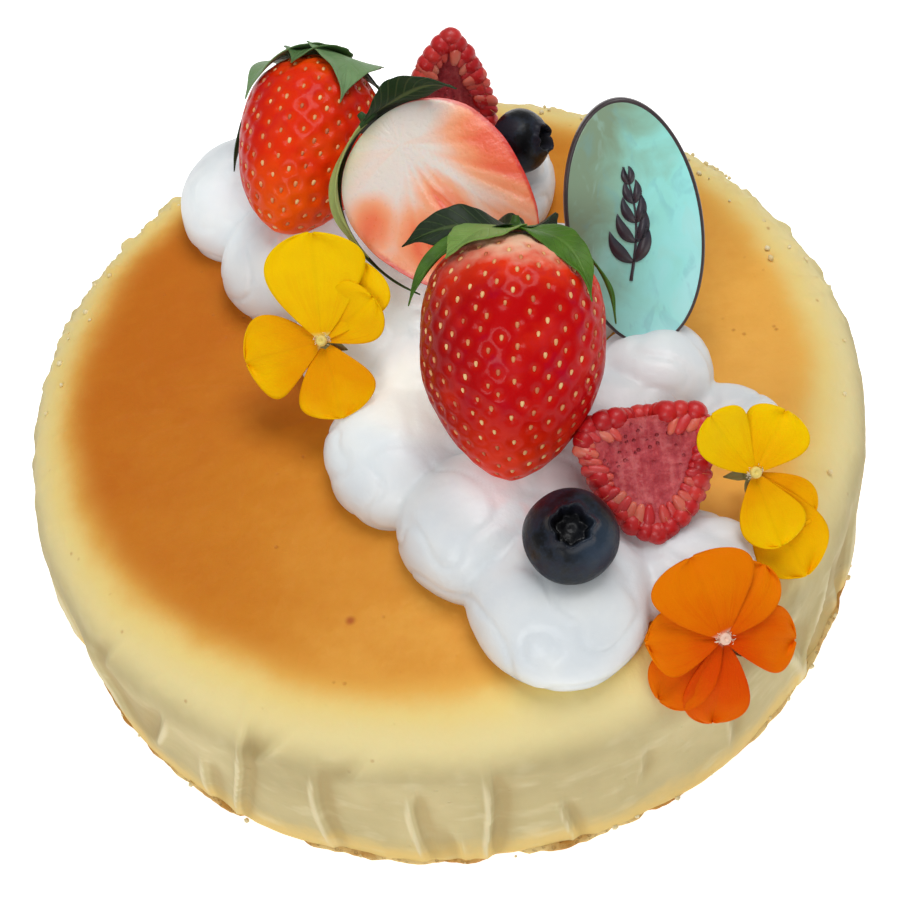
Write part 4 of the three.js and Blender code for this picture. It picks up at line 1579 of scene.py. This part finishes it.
def plaque_board():
    """The dark chocolate oval with rounded edges and a narrow raised lip round its face."""
    back, front = -PLAQUE["thickness"] / 2, PLAQUE["thickness"] / 2
    rear = [(11, back), (6, back), (0.55, back)]
    edge = [(0.2, back + 0.15), (0, back + 0.45), (0, front - 0.4), (0.12, front - 0.12)]
    lip = [(0.32, front), (0.55, front - 0.02), (0.68, front - 0.2)]
    tray = [(6, front - 0.2), (11, front - 0.2)]
    points, faces = skin(oval(rear + edge + lip + tray))
    return Shape().add(placed(points, plaque_frame()), faces)


def plaque_glaze():
    """The thin marbled sheet inside the lip, very slightly wavy."""
    front = PLAQUE["thickness"] / 2
    insets = [0.62] + list(np.linspace(0.7, 11.1, 26))
    outline = [(10.9, front - 0.3), (0.66, front - 0.3)] + [(inset, front - 0.06) for inset in insets]
    rings = oval(outline)
    flat = rings.reshape(-1, 3)
    wave = (0.05 * ripple(flat, 6, 90)).reshape(rings.shape[:2])
    wave[:3] = 0
    rings[..., 2] += wave
    points, faces = skin(rings)
    return Shape().add(placed(points, plaque_frame()), faces, wide=points[:, 0], high=points[:, 1])


def ribbon(points, widths, height, thickness):
    """A flat stroke that follows a run of points, as wide as given at each."""
    points = np.array(points, float)
    way = np.gradient(points, axis=0)
    way = way / np.linalg.norm(way, axis=1)[:, None]
    across = np.column_stack([-way[:, 1], way[:, 0]])
    widths = np.array(widths)[:, None] / 2
    rings = []
    for point, cross, half in zip(points, across, widths):
        corners = [point + cross * half, point - cross * half]
        low, high = height, height + thickness
        rings.append([(*corners[0], low), (*corners[1], low), (*corners[1], high), (*corners[0], high)])
    return skin(np.array(rings)[:, ::-1])


def plaque_sprig():
    """A plain sprig: a curved stem with pairs of leaves that grow smaller towards its tip."""
    shape = Shape()
    top = PLAQUE["thickness"] / 2 - 0.1
    steps = np.linspace(0, 1, 30)
    stem = [(2.6 * math.sin(2.4 * s) - 2.2, -9 + 19 * s) for s in steps]
    strokes = [(stem, [0.55 - 0.35 * s for s in steps])]
    for i in range(5):
        share = 0.16 + 0.17 * i
        foot = (2.6 * math.sin(2.4 * share) - 2.2, -9 + 19 * share)
        for side in (-1, 1):
            tilt = math.radians(90 - side * (56 - 5 * i))
            reach = 6.6 - 0.9 * i
            run = np.linspace(0, 1, 16)
            blade = [
                (foot[0] + reach * r * math.cos(tilt + side * 0.5 * r),
                 foot[1] + reach * r * math.sin(tilt + side * 0.5 * r))
                for r in run
            ]
            strokes.append((blade, [0.16 + (2.0 - 0.25 * i) * math.sin(math.pi * r**0.85) for r in run]))
    for points, widths in strokes:
        points, faces = ribbon(points, widths, top, 0.2)
        shape.add(placed(points, plaque_frame()), faces)
    return shape


def glaze_finish():
    """Glossy teal marbling, greyer and greener towards the upper left."""
    paint = Paint("teal_marbled_glaze", coat_weight=0.6, coat_roughness=0.1)
    wide, high = paint.mark("wide"), paint.mark("high")
    cloud = paint.noise(8, 4, distortion=0.6)
    veins = paint.noise(3.5, 3, paint.stretched(1, 0.6, 0.5), distortion=0.8)
    level = wide * 0.045 - high * 0.02 + (cloud - 0.5) * 0.9 + 0.42
    colour = paint.ramp(
        level,
        (0.0, tone("#8aa488")),
        (0.25, tone("#96cdb8")),
        (0.5, tone("#a2f4ea")),
        (0.75, tone("#a8fcf8")),
        (1.0, tone("#b8ffff")),
    )
    colour = paint.mix(paint.smooth(veins, 0.54, 0.68) * 0.22, colour, tone("#6fb4c4"))
    colour = paint.mix(paint.smooth(veins, 0.44, 0.32) * 0.2, colour, tone("#b9efe6"))
    return paint.paints(base_color=colour, roughness=0.22, normal=paint.bump(cloud, 0.05))


def chocolate_finish(name, colour):
    paint = Paint(name, coat_roughness=0.3, coat_weight=0.25)
    cloud = paint.noise(2.2, 3)
    shade = paint.mix(paint.smooth(cloud, 0.4, 0.7) * 0.4, tone(colour), tone("#4b3a3a"))
    return paint.paints(base_color=shade, roughness=0.42, normal=paint.bump(cloud, 0.06))


def make_plaque():
    """The dark oval board, its marbled face and the raised sprig on it."""
    board = plaque_board().piece("plaque_board", chocolate_finish("dark_chocolate", "#33262a"))
    claim(board, "plaque")
    claim(plaque_glaze().piece("plaque_face", glaze_finish()), "plaque")
    claim(plaque_sprig().piece("plaque_sprig", chocolate_finish("sprig_ink", "#2c2a36")), "plaque")


# ---- stage ----
def pale_stage():
    """A wide, plain, pale floor under soft light from above and a little behind on the right."""
    glow = (1.0, 1.0, 1.0, 1.0)
    paint = Paint("pale_floor", specular_ior_level=0.0, emission_color=glow, emission_strength=0.75)
    floor_material = paint.paints(base_color=(0.85, 0.85, 0.85, 1.0), roughness=0.9)
    corners = [(x * FLOOR_REACH, y * FLOOR_REACH, 0) for x, y in ((-1, -1), (1, -1), (1, 1), (-1, 1))]
    floor = Shape().add(corners, [(0, 1, 2, 3)]).piece("pale_floor", floor_material)
    floor.location.z = -0.05 * MM
    scene = bpy.context.scene
    scene.world = bpy.data.worlds.new("studio")
    scene.world.use_nodes = True
    sky = scene.world.node_tree.nodes["Background"]
    sky.inputs["Color"].default_value = (1, 1, 1, 1)
    sky.inputs["Strength"].default_value = 0.31
    soft_light("key", (0.12, 0.12, 0.62), 0.34, 1.95)
    soft_light("fill", (-0.26, -0.54, 0.5), 0.3, 1.55)


def soft_light(name, place, size, power):
    """A square area light that looks at the middle of the cake."""
    light = bpy.data.lights.new(name, "AREA")
    light.size = size
    light.energy = power
    lamp = bpy.data.objects.new(name, light)
    aim = Vector((0, 0, 0.03)) - Vector(place)
    lamp.matrix_world = Matrix.Translation(place) @ aim.to_track_quat("-Z", "Y").to_matrix().to_4x4()
    bpy.context.scene.collection.objects.link(lamp)


def camera():
    """Looks down on the cake from the front, with a small roll."""
    lens = bpy.data.cameras.new("camera")
    lens.sensor_width = 36
    lens.lens = 72.1
    eye = bpy.data.objects.new("camera", lens)
    right, up, back = Vector((1, 0, 0)), Vector((0, 0.8076, 0.5897)), Vector((0, -0.5897, 0.8076))
    turned = Matrix((right, up, back)).transposed().to_4x4()
    roll = Matrix.Rotation(math.radians(-9.164), 4, "Z")
    eye.matrix_world = Matrix.Translation((0.000234, -0.195033, 0.282675)) @ turned @ roll
    bpy.context.scene.collection.objects.link(eye)
    bpy.context.scene.camera = eye


# ---- the whole cake ----
def build():
    scatter = Scatter()
    claim(ragged_base().piece("sponge_base_disc", base_finish()), "sponge_base")
    claim(cake_body().piece("cheesecake_body", cake_finish()), "cheesecake")
    crumbs = scatter.grow("cake_crumbs", crumb_spots(), crumb_shape(), crumb_finish(), (0.5, 1.3), 3)
    claim(crumbs, "cheesecake")
    claim(whipped_cream(cream_finish()), "whipped_cream")
    make_strawberries(scatter)
    make_raspberries(scatter)
    for seed, (where, fruit) in enumerate(BLUEBERRIES.items(), 70):
        node = "blueberry_" + where
        claim(blueberry(fruit, seed).piece(node + "_fruit", blueberry_finish()), node)
    make_violas(scatter)
    make_plaque()


bpy.context.scene.view_settings.view_transform = "Standard"
build()
pale_stage()
camera()
